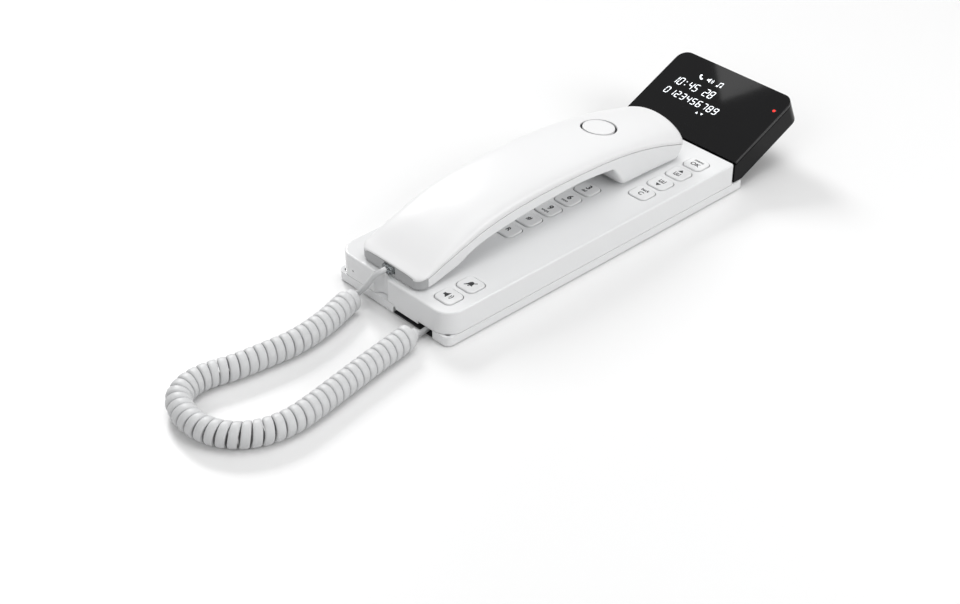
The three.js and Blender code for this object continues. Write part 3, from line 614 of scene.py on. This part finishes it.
# keys and their marks
keyCap = {
    "flange": 0.8,
    "edge": 0.75,
    "edgeSegments": 5,
    "markDepth": 0.05,
    "digitSize": 5.6,
    "letterSize": 2.5,
}
dialLetters = {"2": "abc", "3": "def", "4": "ghi", "5": "jkl", "6": "mno", "7": "pqrs", "8": "tuv", "9": "wxyz"}


def textPlate(text, size, x, y, z, depth):
    curve = bpy.data.curves.new("mark", "FONT")
    curve.body = text
    curve.size = size
    curve.align_x, curve.align_y = "CENTER", "CENTER"
    curve.extrude = depth / 2
    curve.offset = 0.028 * size  # a heavier stroke
    curve.resolution_u = 4
    holder = bpy.data.objects.new("mark", curve)
    scene.collection.objects.link(holder)
    bpy.context.view_layer.update()
    mesh = bpy.data.meshes.new_from_object(holder.evaluated_get(bpy.context.evaluated_depsgraph_get()))
    bm = bmesh.new()
    bm.from_mesh(mesh)
    bpy.data.objects.remove(holder)
    bpy.data.meshes.remove(mesh)
    bmesh.ops.translate(bm, vec=(x, y, z), verts=bm.verts)
    return bm


def outlinePlate(points, x, y, z, depth, size=1.0):
    # a flat sign from a few corner points, given its thickness
    bm = bmesh.new()
    face = bm.faces.new([bm.verts.new((x + px * size, y + py * size, z - depth / 2)) for px, py in points])
    made = bmesh.ops.extrude_face_region(bm, geom=[face])["geom"]
    bmesh.ops.translate(bm, vec=(0, 0, depth), verts=[v for v in made if isinstance(v, bmesh.types.BMVert)])
    bmesh.ops.recalc_face_normals(bm, faces=bm.faces)
    return bm


def arcBand(x, y, z, depth, inner, outer, start, end, steps=10):
    angles = [math.radians(start + (end - start) * k / steps) for k in range(steps + 1)]
    points = [(outer * math.cos(a), outer * math.sin(a)) for a in angles]
    points += [(inner * math.cos(a), inner * math.sin(a)) for a in reversed(angles)]
    return outlinePlate(points, x, y, z, depth)


loudspeakerSign = [(-2.2, -0.7), (-1.2, -0.7), (0.3, -1.9), (0.3, 1.9), (-1.2, 0.7), (-2.2, 0.7)]
triangleUp = [(-1.7, -1.1), (1.7, -1.1), (0, 1.4)]
bookLeaf = [(0.2, -1.5), (2.1, -1.1), (2.1, 1.7), (1.6, 1.8), (1.6, -0.5), (0.7, -0.8), (0.7, 1.5), (0.2, 1.3)]


def keyMarks(name, x, y, z):
    label = name[4:]
    depth, digit, small = keyCap["markDepth"], keyCap["digitSize"], keyCap["letterSize"]
    if label.isdigit():
        parts = [textPlate(label, digit, x, y + 1.4, z, depth)]
        if label in dialLetters:
            parts.append(textPlate(dialLetters[label], small, x, y - 2.6, z, depth))
        return parts
    if label == "star":
        return [textPlate("*", 7, x, y - 0.6, z, depth)]
    if label == "hash":
        return [textPlate("#", 4.6, x, y + 0.6, z, depth)]
    if label == "clear":
        return [textPlate("C", 4.4, x, y - 1.2, z, depth), textPlate("back", 2.9, x, y + 2.8, z, depth)]
    if label == "confirm":
        return [textPlate("OK", 4.2, x, y - 1.2, z, depth), textPlate("menu", 2.9, x, y + 2.8, z, depth)]
    if label in ("up", "down"):
        way = 1 if label == "up" else -1
        sign = outlinePlate([(px, way * py) for px, py in triangleUp], x, y + way * 2.5, z, depth, 1.0)
        return [sign, *(outlinePlate([(side * px, py) for px, py in bookLeaf], x, y - way * 1.5, z, depth)
                        for side in (-1, 1))]
    if label == "speaker":
        return [outlinePlate(loudspeakerSign, x - 0.8, y, z, depth, 1.25),
                *(arcBand(x - 0.3, y, z, depth, r, r + 0.5, -42, 42, 6) for r in (1.4, 2.5))]
    if label == "ringer":
        bell = [(-2, -1.1), (-1.4, -0.6), (-1.2, 0.8), (-0.5, 1.7), (0.5, 1.7), (1.2, 0.8), (1.4, -0.6), (2, -1.1)]
        return [outlinePlate(bell, x, y, z, depth, 1.2), arcBand(x, y - 1.6, z, depth, 0.02, 0.7, 180, 360, 6),
                outlinePlate([(-2.8, -2.4), (-2.3, -2.8), (2.8, 2.4), (2.3, 2.8)], x, y, z + 0.005, depth)]
    if label == "mute":
        return [slab(x - 0.8, x + 0.8, y - 0.6, y + 2.2, 0.75, 0.75, z - depth / 2, z + depth / 2, 4),
                arcBand(x, y + 0.4, z, depth, 1.5, 1.9, 180, 360, 10),
                block(x - 0.2, x + 0.2, y - 2.3, y - 1.4, z - depth / 2, z + depth / 2)]
    if label == "redial":
        return [arcBand(x, y, z, depth, 1.6, 2.1, 40, 330, 14),
                outlinePlate(triangleUp, x + 1.8, y - 0.2, z, depth, 0.7)]
    return [textPlate("R", 4.4, x, y, z, depth)]


def makeKeys(spec):
    width, depth, corner = base["keySize"]
    for name in keyNames:
        low, high = nodeBox(name)
        place = nodeMiddle(name)
        flangeLow = base["top"] - base["wall"] - 0.3 - spec["flange"]
        cap = slab(place.x - width / 2, place.x + width / 2, place.y - depth / 2, place.y + depth / 2,
                   corner, corner, flangeLow + spec["flange"] - 0.1, high.z, 7)
        roundEdges(cap, spec["edge"], spec["edgeSegments"], atHeight(high.z))
        flange = block(low.x, high.x, low.y, high.y, flangeLow, flangeLow + spec["flange"])
        stem = block(place.x - 2, place.x + 2, place.y - 2, place.y + 2, low.z, flangeLow + 0.1)
        bm = carve(carve(flange, cap, "UNION"), stem, "UNION")
        finishPiece(bm, name + "_cap", name + "_body", [keyWhite], [name], sharpAngle=42)
        marks = gather(*keyMarks(name, place.x, place.y, high.z))
        finishPiece(marks, name + "_mark", name + "_body", [keyInk], weighted=False)


makeKeys(keyCap)
print("keys made")

# display
display = {
    "foot": (222.2, 19.6),  # where its front meets the cover's top
    "tilt": 23.8,
    "half": 43.4,
    "length": 55.4,
    "thickness": 15.0,
    "corner": 7.3,
    "lens": 1.8,
    "floor": 6.35,
    "heel": 229.33,
    "light": (37.8, 42.2),
    "cellWidth": 2.5,
    "cellHeight": 4.5,
    "stroke": 0.52,
    "lean": 0.14,
}
segmentBars = {"a": (0, 1, 0), "b": (1, 0.5, 1), "c": (1, -0.5, 1), "d": (0, -1, 0), "e": (-1, -0.5, 1),
               "f": (-1, 0.5, 1), "g": (0, 0, 0)}
segmentDigits = {"0": "abcdef", "1": "bc", "2": "abged", "3": "abgcd", "4": "fgbc", "5": "afgcd", "6": "afgedc",
                 "7": "abc", "8": "abcdefg", "9": "abcdfg"}
toSlab = (Matrix.Translation((0, *display["foot"])) @ Matrix.Rotation(math.radians(display["tilt"]), 4, "X"))


def segmentDigit(digit, x, y, width, height, z):
    stroke, bars = display["stroke"], []
    for letter in segmentDigits[digit]:
        across, rise, uprightBar = segmentBars[letter]
        centreX, centreY = across * width / 2, rise * height / 2
        reach = (height / 4 if uprightBar else width / 2) - 0.10
        t = stroke / 2
        shape = [(-reach, 0), (-reach + t, t), (reach - t, t), (reach, 0), (reach - t, -t), (-reach + t, -t)]
        if uprightBar:
            shape = [(-py, px) for px, py in shape]
        leaning = [(centreX + px + display["lean"] * (centreY + py), centreY + py) for px, py in shape]
        bars.append(outlinePlate(leaning, x, y, z, 0.05))
    return bars


def makeSegments(spec):
    parts, z = [], 0.02
    for index, digit in enumerate("0123456789"):
        parts += segmentDigit(digit, -30.4 + 4.2 * index, 24.8, spec["cellWidth"], spec["cellHeight"], z)
    for index, digit in enumerate("10 45 28"):  # a clock and a day stand in the upper row
        if digit != " ":
            parts += segmentDigit(digit, -31.2 + 4.0 * index, 33.9, 2.6, 5.4, z)
    for y in (32.7, 35.3):
        parts.append(block(-23.7, -23.0, y - 0.35, y + 0.35, z - 0.025, z + 0.025))
    parts.append(outlinePlate([(-0.9, -0.6), (0.9, -0.6), (0, 0.9)], -2.0, 18.8, z, 0.05))
    parts.append(outlinePlate([(-0.9, 0.6), (0.9, 0.6), (0, -0.9)], 1.4, 19.2, z, 0.05))
    receiver = [(-1.9, 1.2), (-1.0, 2.0), (-0.3, 1.2), (-0.8, 0.5), (0.4, -0.9), (1.2, -0.5), (1.9, -1.2), (1.1, -2.0),
                (0.1, -1.9), (-1.7, 0.0)]
    parts.append(outlinePlate(receiver, -18.0, 42.6, z, 0.05, 0.95))
    parts.append(outlinePlate(loudspeakerSign, -11.4, 42.6, z, 0.05, 0.9))
    parts += [arcBand(-11.0, 42.6, z, 0.05, r, r + 0.35, -42, 42, 6) for r in (1.1, 2.0)]
    note = [(-0.9, -1.5), (-0.6, -1.5), (-0.6, 1.2), (1.3, 1.6), (1.3, -1.1), (1.6, -1.1), (1.6, 2.2), (-0.9, 1.8)]
    parts.append(outlinePlate(note, -3.6, 42.6, z, 0.05))
    parts += [rod((x, y, z), 0.62, 0.05, sides=14) for x, y in ((-4.9, 41.1), (-2.4, 41.5))]
    bm = gather(*parts)
    bmesh.ops.transform(bm, matrix=toSlab, verts=bm.verts)
    finishPiece(bm, "display_segments", "display", [displaySegment], weighted=False)


def makeLens(spec):
    lightX, lightY = spec["light"]
    bm = slab(-spec["half"], spec["half"], 0, spec["length"], 1.0, spec["corner"], -spec["lens"], 0, 16)
    bm = carve(bm, rod((lightX, lightY, 0), 0.95, 6, sides=28))
    bmesh.ops.transform(bm, matrix=toSlab, verts=bm.verts)
    finishPiece(bm, "display_lens", "display", [displayGloss], ["display_front_lens"],
                edge=0.32, edgeSegments=3, sharpAngle=42)
    pipe = rod((lightX, lightY, -3.05), 0.85, 6, sides=28)
    roundEdges(pipe, 0.4, 4, lambda a, b: a.z > -0.2 and b.z > -0.2)
    bmesh.ops.transform(pipe, matrix=toSlab, verts=pipe.verts)
    finishPiece(pipe, "message_light", "display", [redLight], ["message_light_pipe"])


def makeCase(spec):
    seat = spec["lens"] + 0.3
    noseY = spec["foot"][0]
    front = toSlab @ Vector((0, 0, -seat))
    ends = [toSlab @ Vector((0, spec["length"], -depth)) for depth in (spec["thickness"], seat)]
    side = [(noseY, spec["floor"]), (spec["heel"], spec["floor"]), (ends[0].y, ends[0].z), (ends[1].y, ends[1].z),
            (front.y, front.z), (noseY, front.z)]
    bm = bmesh.new()
    face = bm.faces.new([bm.verts.new((-spec["half"], y, z)) for y, z in side])
    made = bmesh.ops.extrude_face_region(bm, geom=[face])["geom"]
    bmesh.ops.translate(bm, vec=(2 * spec["half"], 0, 0), verts=[v for v in made if isinstance(v, bmesh.types.BMVert)])
    bmesh.ops.recalc_face_normals(bm, faces=bm.faces)
    far = spec["length"] - 0.1
    fromSlab = toSlab.inverted()
    roundEdges(bm, spec["corner"], 16, lambda a, b: (fromSlab @ a).y > far and (fromSlab @ b).y > far
               and abs(a.x - b.x) < 1e-3)
    hingeY, hingeZ = base["hinge"]
    for sideSign in (-1, 1):
        x = sideSign * base["lugX"]
        room = carve(rod((x, hingeY, hingeZ), 6.6, 7, axis="X", sides=40),
                     block(x - 3.5, x + 3.5, noseY - 1, hingeY, spec["floor"] - 1, hingeZ + 6), "UNION")
        bm = carve(bm, room)
        bm = carve(bm, rod((x, hingeY, hingeZ), 1.5, 18.6, axis="X", sides=28))
    finishPiece(bm, "display_case", "display", [displayCase], ["display_rear_housing"],
                edge=0.5, edgeSegments=3, sharpAngle=42)


makeLens(display)
makeCase(display)
makeSegments(display)
print("display made")

# handset
handset = {
    "middle": -4.7,
    "half": 24.2,
    "near": 3.6,
    "far": 205.0,
    "nearCorner": 5.5,
    "farCorner": 3.6,
    "wall": 1.2,
    "gap": 0.18,  # half the groove between the shells
    "endEdge": 0.5,
    "band": 1.15,
    "bandInset": 0.1,
    "capUnder": 0.8,  # how far the end cap stays under the crown
    "capPlay": 0.12,
    "parting": [(3.6, 25.0), (9.6, 26.6), (20, 30.2), (31.3, 33.7), (48, 38.4), (65.3, 41.3), (84, 42.8), (103.7, 43.3),
                (125.1, 43.0), (139.6, 42.4), (154.6, 41.0), (169.9, 38.5), (185.6, 34.7), (201, 29.9), (205, 28.6)],
    "crown": [(3.6, 2.3), (17, 5.0), (32, 7.2), (54, 8.2), (71, 8.2), (100, 7.7), (118, 7.3), (157, 7.3), (185, 9.0),
              (205, 11.4)],
    "lower": [(3.6, 20.3), (8, 20.3), (12, 20.6), (20, 22.0), (31.1, 24.8), (37.6, 28.0), (46, 30.8), (59, 33.0),
              (75, 34.8), (90, 36.0), (103.8, 36.8), (118.2, 37.3), (132.7, 36.4), (141, 35.4), (145.2, 34.8),
              (146.8, 33.6), (148.2, 31.6), (153.6, 23.2), (154.8, 21.8), (156.2, 21.2), (160, 21.1), (175, 20.9),
              (190, 20.6), (197.4, 20.5), (198.9, 20.9), (200, 22.4), (201.4, 25.2), (203, 27.2), (205, 28.6)],
    "acrossSteps": 56,
    "disc": (158.0, 9.2),
    "discGroove": 1.4,
    "plug": (8.6, 22.0, 26.2),  # width, floor and roof of its opening
    "receiverY": 186.0,
    "mouthY": 24.0,
}


def heightAt(points, y):
    # a smooth curve through (y, height) points
    if y <= points[0][0]:
        return points[0][1]
    for index in range(len(points) - 1):
        (y0, h0), (y1, h1) = points[index], points[index + 1]
        if y <= y1:
            before = points[max(index - 1, 0)]
            after = points[min(index + 2, len(points) - 1)]
            slope0 = (h1 - before[1]) / (y1 - before[0])
            slope1 = (after[1] - h0) / (after[0] - y0)
            t, span = (y - y0) / (y1 - y0), y1 - y0
            return ((2 * t ** 3 - 3 * t ** 2 + 1) * h0 + (t ** 3 - 2 * t ** 2 + t) * span * slope0
                    + (3 * t ** 2 - 2 * t ** 3) * h1 + (t ** 3 - t ** 2) * span * slope1)
    return points[-1][1]


def halfWidthAt(spec, y):
    half = spec["half"]
    for fromEnd, corner in ((y - spec["near"], spec["nearCorner"]), (spec["far"] - y, spec["farCorner"])):
        if fromEnd < corner:
            half = spec["half"] - corner + math.sqrt(max(corner ** 2 - (corner - fromEnd) ** 2, 0))
    return half


def stationsBetween(start, end, nearReach, farReach, coarse):
    # close together where the corners turn, further apart between them
    stations = [start + nearReach * (1 - math.cos(math.pi / 2 * k / 9)) for k in range(10)]
    count = int((end - farReach - stations[-1]) / coarse)
    step = (end - farReach - stations[-1]) / count
    stations += [stations[-1] + step * k for k in range(1, count)]
    stations += [end - farReach + farReach * math.sin(math.pi / 2 * k / 9) for k in range(10)]
    return stations


def skin(rows):
    # a surface drawn out row by row
    bm = bmesh.new()
    chain = [bm.verts.new(point) for point in rows[0]]
    edges = [bm.edges.new(pair) for pair in zip(chain, chain[1:])]
    for row in rows[1:]:
        made = bmesh.ops.extrude_edge_only(bm, edges=edges)["geom"]
        fresh = {v for v in made if isinstance(v, bmesh.types.BMVert)}
        chain = [next(e.other_vert(v) for e in v.link_edges if e.other_vert(v) in fresh) for v in chain]
        edges = [bm.edges.get(pair) for pair in zip(chain, chain[1:])]
        for vert, point in zip(chain, row):
            vert.co = point
    bmesh.ops.remove_doubles(bm, verts=bm.verts, dist=1e-5)
    return bm


def thicken(bm, thickness, far):
    # gives an open skin its wall, towards the inside, thinner where the far end closes up
    mesh = bpy.data.meshes.new("holder")
    bm.to_mesh(mesh)
    bm.free()
    holder = bpy.data.objects.new("holder", mesh)
    scene.collection.objects.link(holder)
    wall = holder.modifiers.new("wall", "SOLIDIFY")
    wall.thickness = thickness
    wall.offset = -1
    group = holder.vertex_groups.new(name="wall")
    for vert in mesh.vertices:
        group.add([vert.index], min(1.0, max(0.15, (far - vert.co.y) / 6)), "REPLACE")
    wall.vertex_group = group.name
    result = bmesh.new()
    result.from_object(holder, bpy.context.evaluated_depsgraph_get())
    bpy.data.objects.remove(holder)
    bpy.data.meshes.remove(mesh)
    return result


def backRows(spec):
    near, far, edge = spec["near"], spec["far"], spec["endEdge"]
    farCrown = heightAt(spec["crown"], far)
    path = []
    for y in stationsBetween(near, far, spec["nearCorner"], spec["farCorner"], 2.4):
        drop, fromEnd = 0.0, min(y - near, far - y)
        if fromEnd < edge:
            drop = edge - math.sqrt(max(edge ** 2 - (edge - fromEnd) ** 2, 0))
        path.append((y, heightAt(spec["crown"], y) - drop))
    path += [(far, (farCrown - edge) * k / 8) for k in range(7, -1, -1)]
    rows = []
    for y, crown in path:
        mix = ease((y - 110) / 90)
        square, full = 2.6 + (2.0 - 2.6) * mix, 0.45 + (0.58 - 0.45) * mix
        half, floor = halfWidthAt(spec, y), heightAt(spec["parting"], y) + spec["gap"]
        band = min(spec["band"], 0.4 * crown)  # an upright rim under the crown, set in a little
        inset = spec["bandInset"] * band / spec["band"]
        row = [(half - inset, floor), (half - inset, floor + 0.85 * band), (half, floor + band)]
        for k in range(1, spec["acrossSteps"] // 2 + 1):
            angle = math.pi * k / spec["acrossSteps"]
            u = max(math.cos(angle), 0) ** (2 / square)
            row.append((half * u, floor + band + (crown - band) * math.sin(angle) ** (2 * full)))
        row = [(x, z) for x, z in row] + [(-x, z) for x, z in reversed(row[:-1])]
        rows.append([(spec["middle"] + x, y, z) for x, z in row])
    return rows


def faceRows(spec):
    near, far, edge = spec["near"], spec["far"], spec["endEdge"]
    path = []
    stations = stationsBetween(near, far, spec["nearCorner"], spec["farCorner"], 2.0)
    stations = sorted({*stations, *(144 + 0.5 * k for k in range(28)), *(196 + 0.5 * k for k in range(11))})
    for y in stations:
        drop = 0.0
        if y - near < edge:
            drop = edge - math.sqrt(max(edge ** 2 - (edge - (y - near)) ** 2, 0))
        path.append((y, heightAt(spec["parting"], y) - heightAt(spec["lower"], y) - drop))
    rows = []
    for y, deep in path:
        half, ceiling = halfWidthAt(spec, y), heightAt(spec["parting"], y) - spec["gap"]
        row = []
        for k in range(spec["acrossSteps"] + 1):
            angle = math.pi * k / spec["acrossSteps"]
            across, rise = -math.cos(angle), math.sin(angle)
            u = math.copysign(abs(across) ** (2 / 12), across)
            row.append((spec["middle"] + half * u, y, ceiling - max(deep - spec["gap"], 0) * rise ** (2 / 12)))
        rows.append(row)
    return rows


def plugOpening(spec):
    width, floor, roof = spec["plug"]
    return block(spec["middle"] - width / 2, spec["middle"] + width / 2, spec["near"] - 2, spec["near"] + 4,
                 floor, roof)


def endCapBody(spec, play):
    # closed rings from the cord end to where the corners are through turning, kept under the crown
    near, reach, steps = spec["near"], spec["nearCorner"] + play, spec["acrossSteps"] // 2
    rows = []
    for y in [near + reach * (1 - math.cos(math.pi / 2 * k / 9)) for k in range(10)]:
        half, parting = halfWidthAt(spec, y) + play, heightAt(spec["parting"], y)
        crown, deep = heightAt(spec["crown"], y), parting - heightAt(spec["lower"], y) + play
        band = min(spec["band"], 0.4 * crown)
        row = []
        for k in range(1, 2 * steps):
            angle = math.pi * k / (2 * steps)
            across = math.copysign(abs(math.cos(angle)) ** (2 / 2.6), math.cos(angle))
            rise = band + (crown - band) * math.sin(angle) ** 0.9 - spec["capUnder"]
            row.append((spec["middle"] + half * across, y, parting + max(rise, 0.05) + play))
        for k in range(2 * steps + 1):
            angle = math.pi * k / (2 * steps)
            across = -math.copysign(abs(math.cos(angle)) ** (2 / 12), math.cos(angle))
            row.append((spec["middle"] + half * across, y, parting - deep * math.sin(angle) ** (2 / 12)))
        rows.append([*row, row[0]])
    if play:
        rows.insert(0, [(x, near - 1, z) for x, y, z in rows[0]])
    bm = skin(rows)
    bmesh.ops.holes_fill(bm, edges=[e for e in bm.edges if e.is_boundary], sides=0)
    bmesh.ops.recalc_face_normals(bm, faces=bm.faces)
    return bm


def makeEndCap(spec):
    bm = carve(endCapBody(spec, 0), plugOpening(spec))
    finishPiece(bm, "handset_end_cap", "handset", [greyCap], edge=0.15, sharpAngle=42)


def makeHandset(spec):
    makeEndCap(spec)
    y, radius = spec["disc"]
    top = heightAt(spec["parting"], y) + heightAt(spec["crown"], y)
    slope = math.atan((heightAt(spec["parting"], y + 5) + heightAt(spec["crown"], y + 5)
                       - heightAt(spec["parting"], y - 5) - heightAt(spec["crown"], y - 5)) / 10)
    onBack = Matrix.Translation((spec["middle"], y, top)) @ Matrix.Rotation(slope, 4, "X")
    bm = skin(backRows(spec))
    bm = thicken(bm, spec["wall"], spec["far"])
    pocket = rod((0, 0, 0), radius + spec["discGroove"], 5, sides=72)
    bmesh.ops.transform(pocket, matrix=onBack, verts=pocket.verts)
    bm = carve(bm, pocket)
    bm = carve(bm, endCapBody(spec, spec["capPlay"]))
    finishPiece(bm, "handset_back", "handset", [whiteSatin], ["handset_back_shell"],
                edge=0.22, sharpAngle=48)

    bm = skin(faceRows(spec))
    bm = thicken(bm, spec["wall"], spec["far"])
    bm = carve(bm, endCapBody(spec, spec["capPlay"]))
    holes = [rod((spec["middle"], spec["mouthY"], 22), 1, 6, sides=18),
             rod((spec["middle"], spec["receiverY"], 22), 1, 8, sides=18)]
    for ring, count in ((4.6, 6), (8.2, 12)):
        for k in range(count):
            angle = 2 * math.pi * k / count
            holes.append(rod((spec["middle"] + ring * math.cos(angle), spec["receiverY"] + ring * math.sin(angle), 22),
                             0.9, 8, sides=16))
    bm = carve(bm, gather(*holes))
    finishPiece(bm, "handset_face", "handset", [whiteGloss], ["handset_face_shell"],
                edge=0.22, sharpAngle=48)

    # a black ring at the bottom of the disc's groove: painted shade that darkens the groove
    seat = rod((0, 0, -2.0), radius + 2, 0.5, sides=72)
    bmesh.ops.transform(seat, matrix=onBack, verts=seat.verts)
    finishPiece(seat, "disc_groove_painted_shade", "handset", [blackPlastic])
    disc = rod((0, 0, -0.85), radius, 1.7, sides=72)
    bmesh.ops.inset_region(disc, faces=[f for f in disc.faces if f.normal.z > 0.9], thickness=0.5, depth=0.18)
    bmesh.ops.inset_region(disc, faces=[f for f in disc.faces if f.normal.z > 0.99 and len(f.verts) > 4],
                           thickness=1.8, depth=0.10)
    bmesh.ops.transform(disc, matrix=onBack, verts=disc.verts)
    finishPiece(disc, "handset_disc", "handset", [whiteSatin], ["handset_back_disc"],
                edge=0.12, sharpAngle=35)


makeHandset(handset)
print("handset made")


# plugs
plugs = {"width": 7.4, "height": 3.6, "length": 11.0, "contactWidth": 0.5, "contactPitch": 1.25}


def makePlug(name, node, body, x, y0, z, latchUp, spec):
    half, rise, length = spec["width"] / 2, spec["height"] / 2, spec["length"]
    bm = block(x - half, x + half, y0, y0 + length, z - rise, z + rise)
    way = 1 if latchUp else -1
    bm = carve(bm, block(x - 2.6, x + 2.6, y0 - 1, y0 + 4, z - 1.0, z + 1.0))
    latch = block(x - 1.5, x + 1.5, y0 + 0.5, y0 + length - 1, z + way * (rise - 0.1), z + way * (rise + 0.55))
    bm = carve(bm, latch, "UNION")
    plug = finishPiece(bm, name, body, [clearPlug], [node], edge=0.2, sharpAngle=42)
    contacts = []
    for k in range(4):
        contactX = x + (k - 1.5) * spec["contactPitch"]
        contacts.append(block(contactX - spec["contactWidth"] / 2, contactX + spec["contactWidth"] / 2,
                              y0 + length - 3.6, y0 + length - 0.4, z - way * (rise - 0.8), z - way * (rise + 0.03)))
    bm = gather(*contacts)
    bmesh.ops.recalc_face_normals(bm, faces=bm.faces)
    finishPiece(bm, name + "_contacts", body, [goldContact], weighted=False)
    return plug


handsetPlug = nodeMiddle("handset_cord_plug")
basePlug = nodeMiddle("base_cord_plug")
makePlug("handset_plug", "handset_cord_plug", "handset", handsetPlug.x, handsetPlug.y - 5.5, 24.1, False, plugs)
makePlug("base_plug", "base_cord_plug", "base", basePlug.x, basePlug.y - 5.5, basePlug.z, False, plugs)

# finishes of the CAD nodes that stay
nodeFinishes = [
    (("main_circuit_board", "display_circuit_board"), circuitBoard),
    (("keypad_rubber_mat", "function_key_mat", "audio_key_mat", "rubber_foot_"), greyRubber),
    (("base_screw_", "ballast_weight", "handset_weight", "hinge_pin_", "base_microphone", "handset_microphone"),
     steelMetal),
    (("base_loudspeaker", "earpiece_receiver", "lcd_module", "base_cord_jack", "line_cord_jack",
      "handset_cord_jack"), blackPlastic),
    (("hook_switch_plunger",), whiteSatin),
]
for starts, material in nodeFinishes:
    for name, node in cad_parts.items():
        if name.startswith(starts):
            node.data.materials.clear()
            node.data.materials.append(material)
print("nodes finished")

# cord last, once its plugs are there
makeCord(cord)

# floor and light
studio = {"floorSize": 6.0, "floorBounce": 0.75, "skyStrength": 0.36}


def makeStudio(spec):
    bm = bmesh.new()
    bmesh.ops.create_grid(bm, x_segments=1, y_segments=1, size=spec["floorSize"] / 2)
    mesh = bpy.data.meshes.new("floor")
    bm.to_mesh(mesh)
    bm.free()
    white = makePlastic("floor_white", (0.9, 0.9, 0.9), (0.9, 0.9, 0.9), 0.3, 0.36, grainDepth=0.0, specular=0.3)
    tree = white.node_tree
    seen = tree.nodes.new("ShaderNodeLightPath")
    paint = tree.nodes.new("ShaderNodeMix")  # the floor throws back less light than it shows
    paint.data_type = "RGBA"
    paint.inputs["A"].default_value = (0.87, 0.87, 0.87, 1)
    paint.inputs["B"].default_value = (*[spec["floorBounce"]] * 3, 1)
    link(tree, seen.outputs["Is Diffuse Ray"], paint.inputs["Factor"])
    link(tree, paint.outputs["Result"], tree.nodes["Principled BSDF"].inputs["Base Color"])
    mesh.materials.append(white)
    floor = bpy.data.objects.new("floor", mesh)
    scene.collection.objects.link(floor)
    world = bpy.data.worlds.new("studio")
    world.use_nodes = True
    world.node_tree.nodes["Background"].inputs["Color"].default_value = (1, 1, 1, 1)
    world.node_tree.nodes["Background"].inputs["Strength"].default_value = spec["skyStrength"]
    scene.world = world
    scene.view_settings.view_transform = "Standard"


def addSoftbox(name, place, aim, size, power, turn=0.0):
    data = bpy.data.lights.new(name, "AREA")
    data.shape = "RECTANGLE"
    data.size, data.size_y = size
    data.energy = power
    light = bpy.data.objects.new(name, data)
    light.location = place
    light.rotation_euler = (0, 0, turn)  # faces straight down unless aimed
    if aim:
        light.rotation_euler = (Vector(aim) - Vector(place)).to_track_quat("-Z", "Y").to_euler()
    scene.collection.objects.link(light)


makeStudio(studio)
addSoftbox("softbox_left", (-1.44, 0.45, 1.0), (0, 0, 0), (0.55, 0.55), 16)
addSoftbox("softbox_top", (0.1, 0.1, 1.5), (0, 0, 0), (1.0, 1.0), 8)
addSoftbox("softbox_right", (1.15, 0.45, 0.7), (0, 0, 0), (0.7, 0.6), 7)
addSoftbox("softbox_front", (0.3, -1.25, 0.9), (0, 0, 0), (0.8, 0.8), 4)
addSoftbox("small_reflector", (-0.79, 0.378, 1.25), None, (0.14, 0.14), 0.085, math.radians(41.7))
print("studio made")
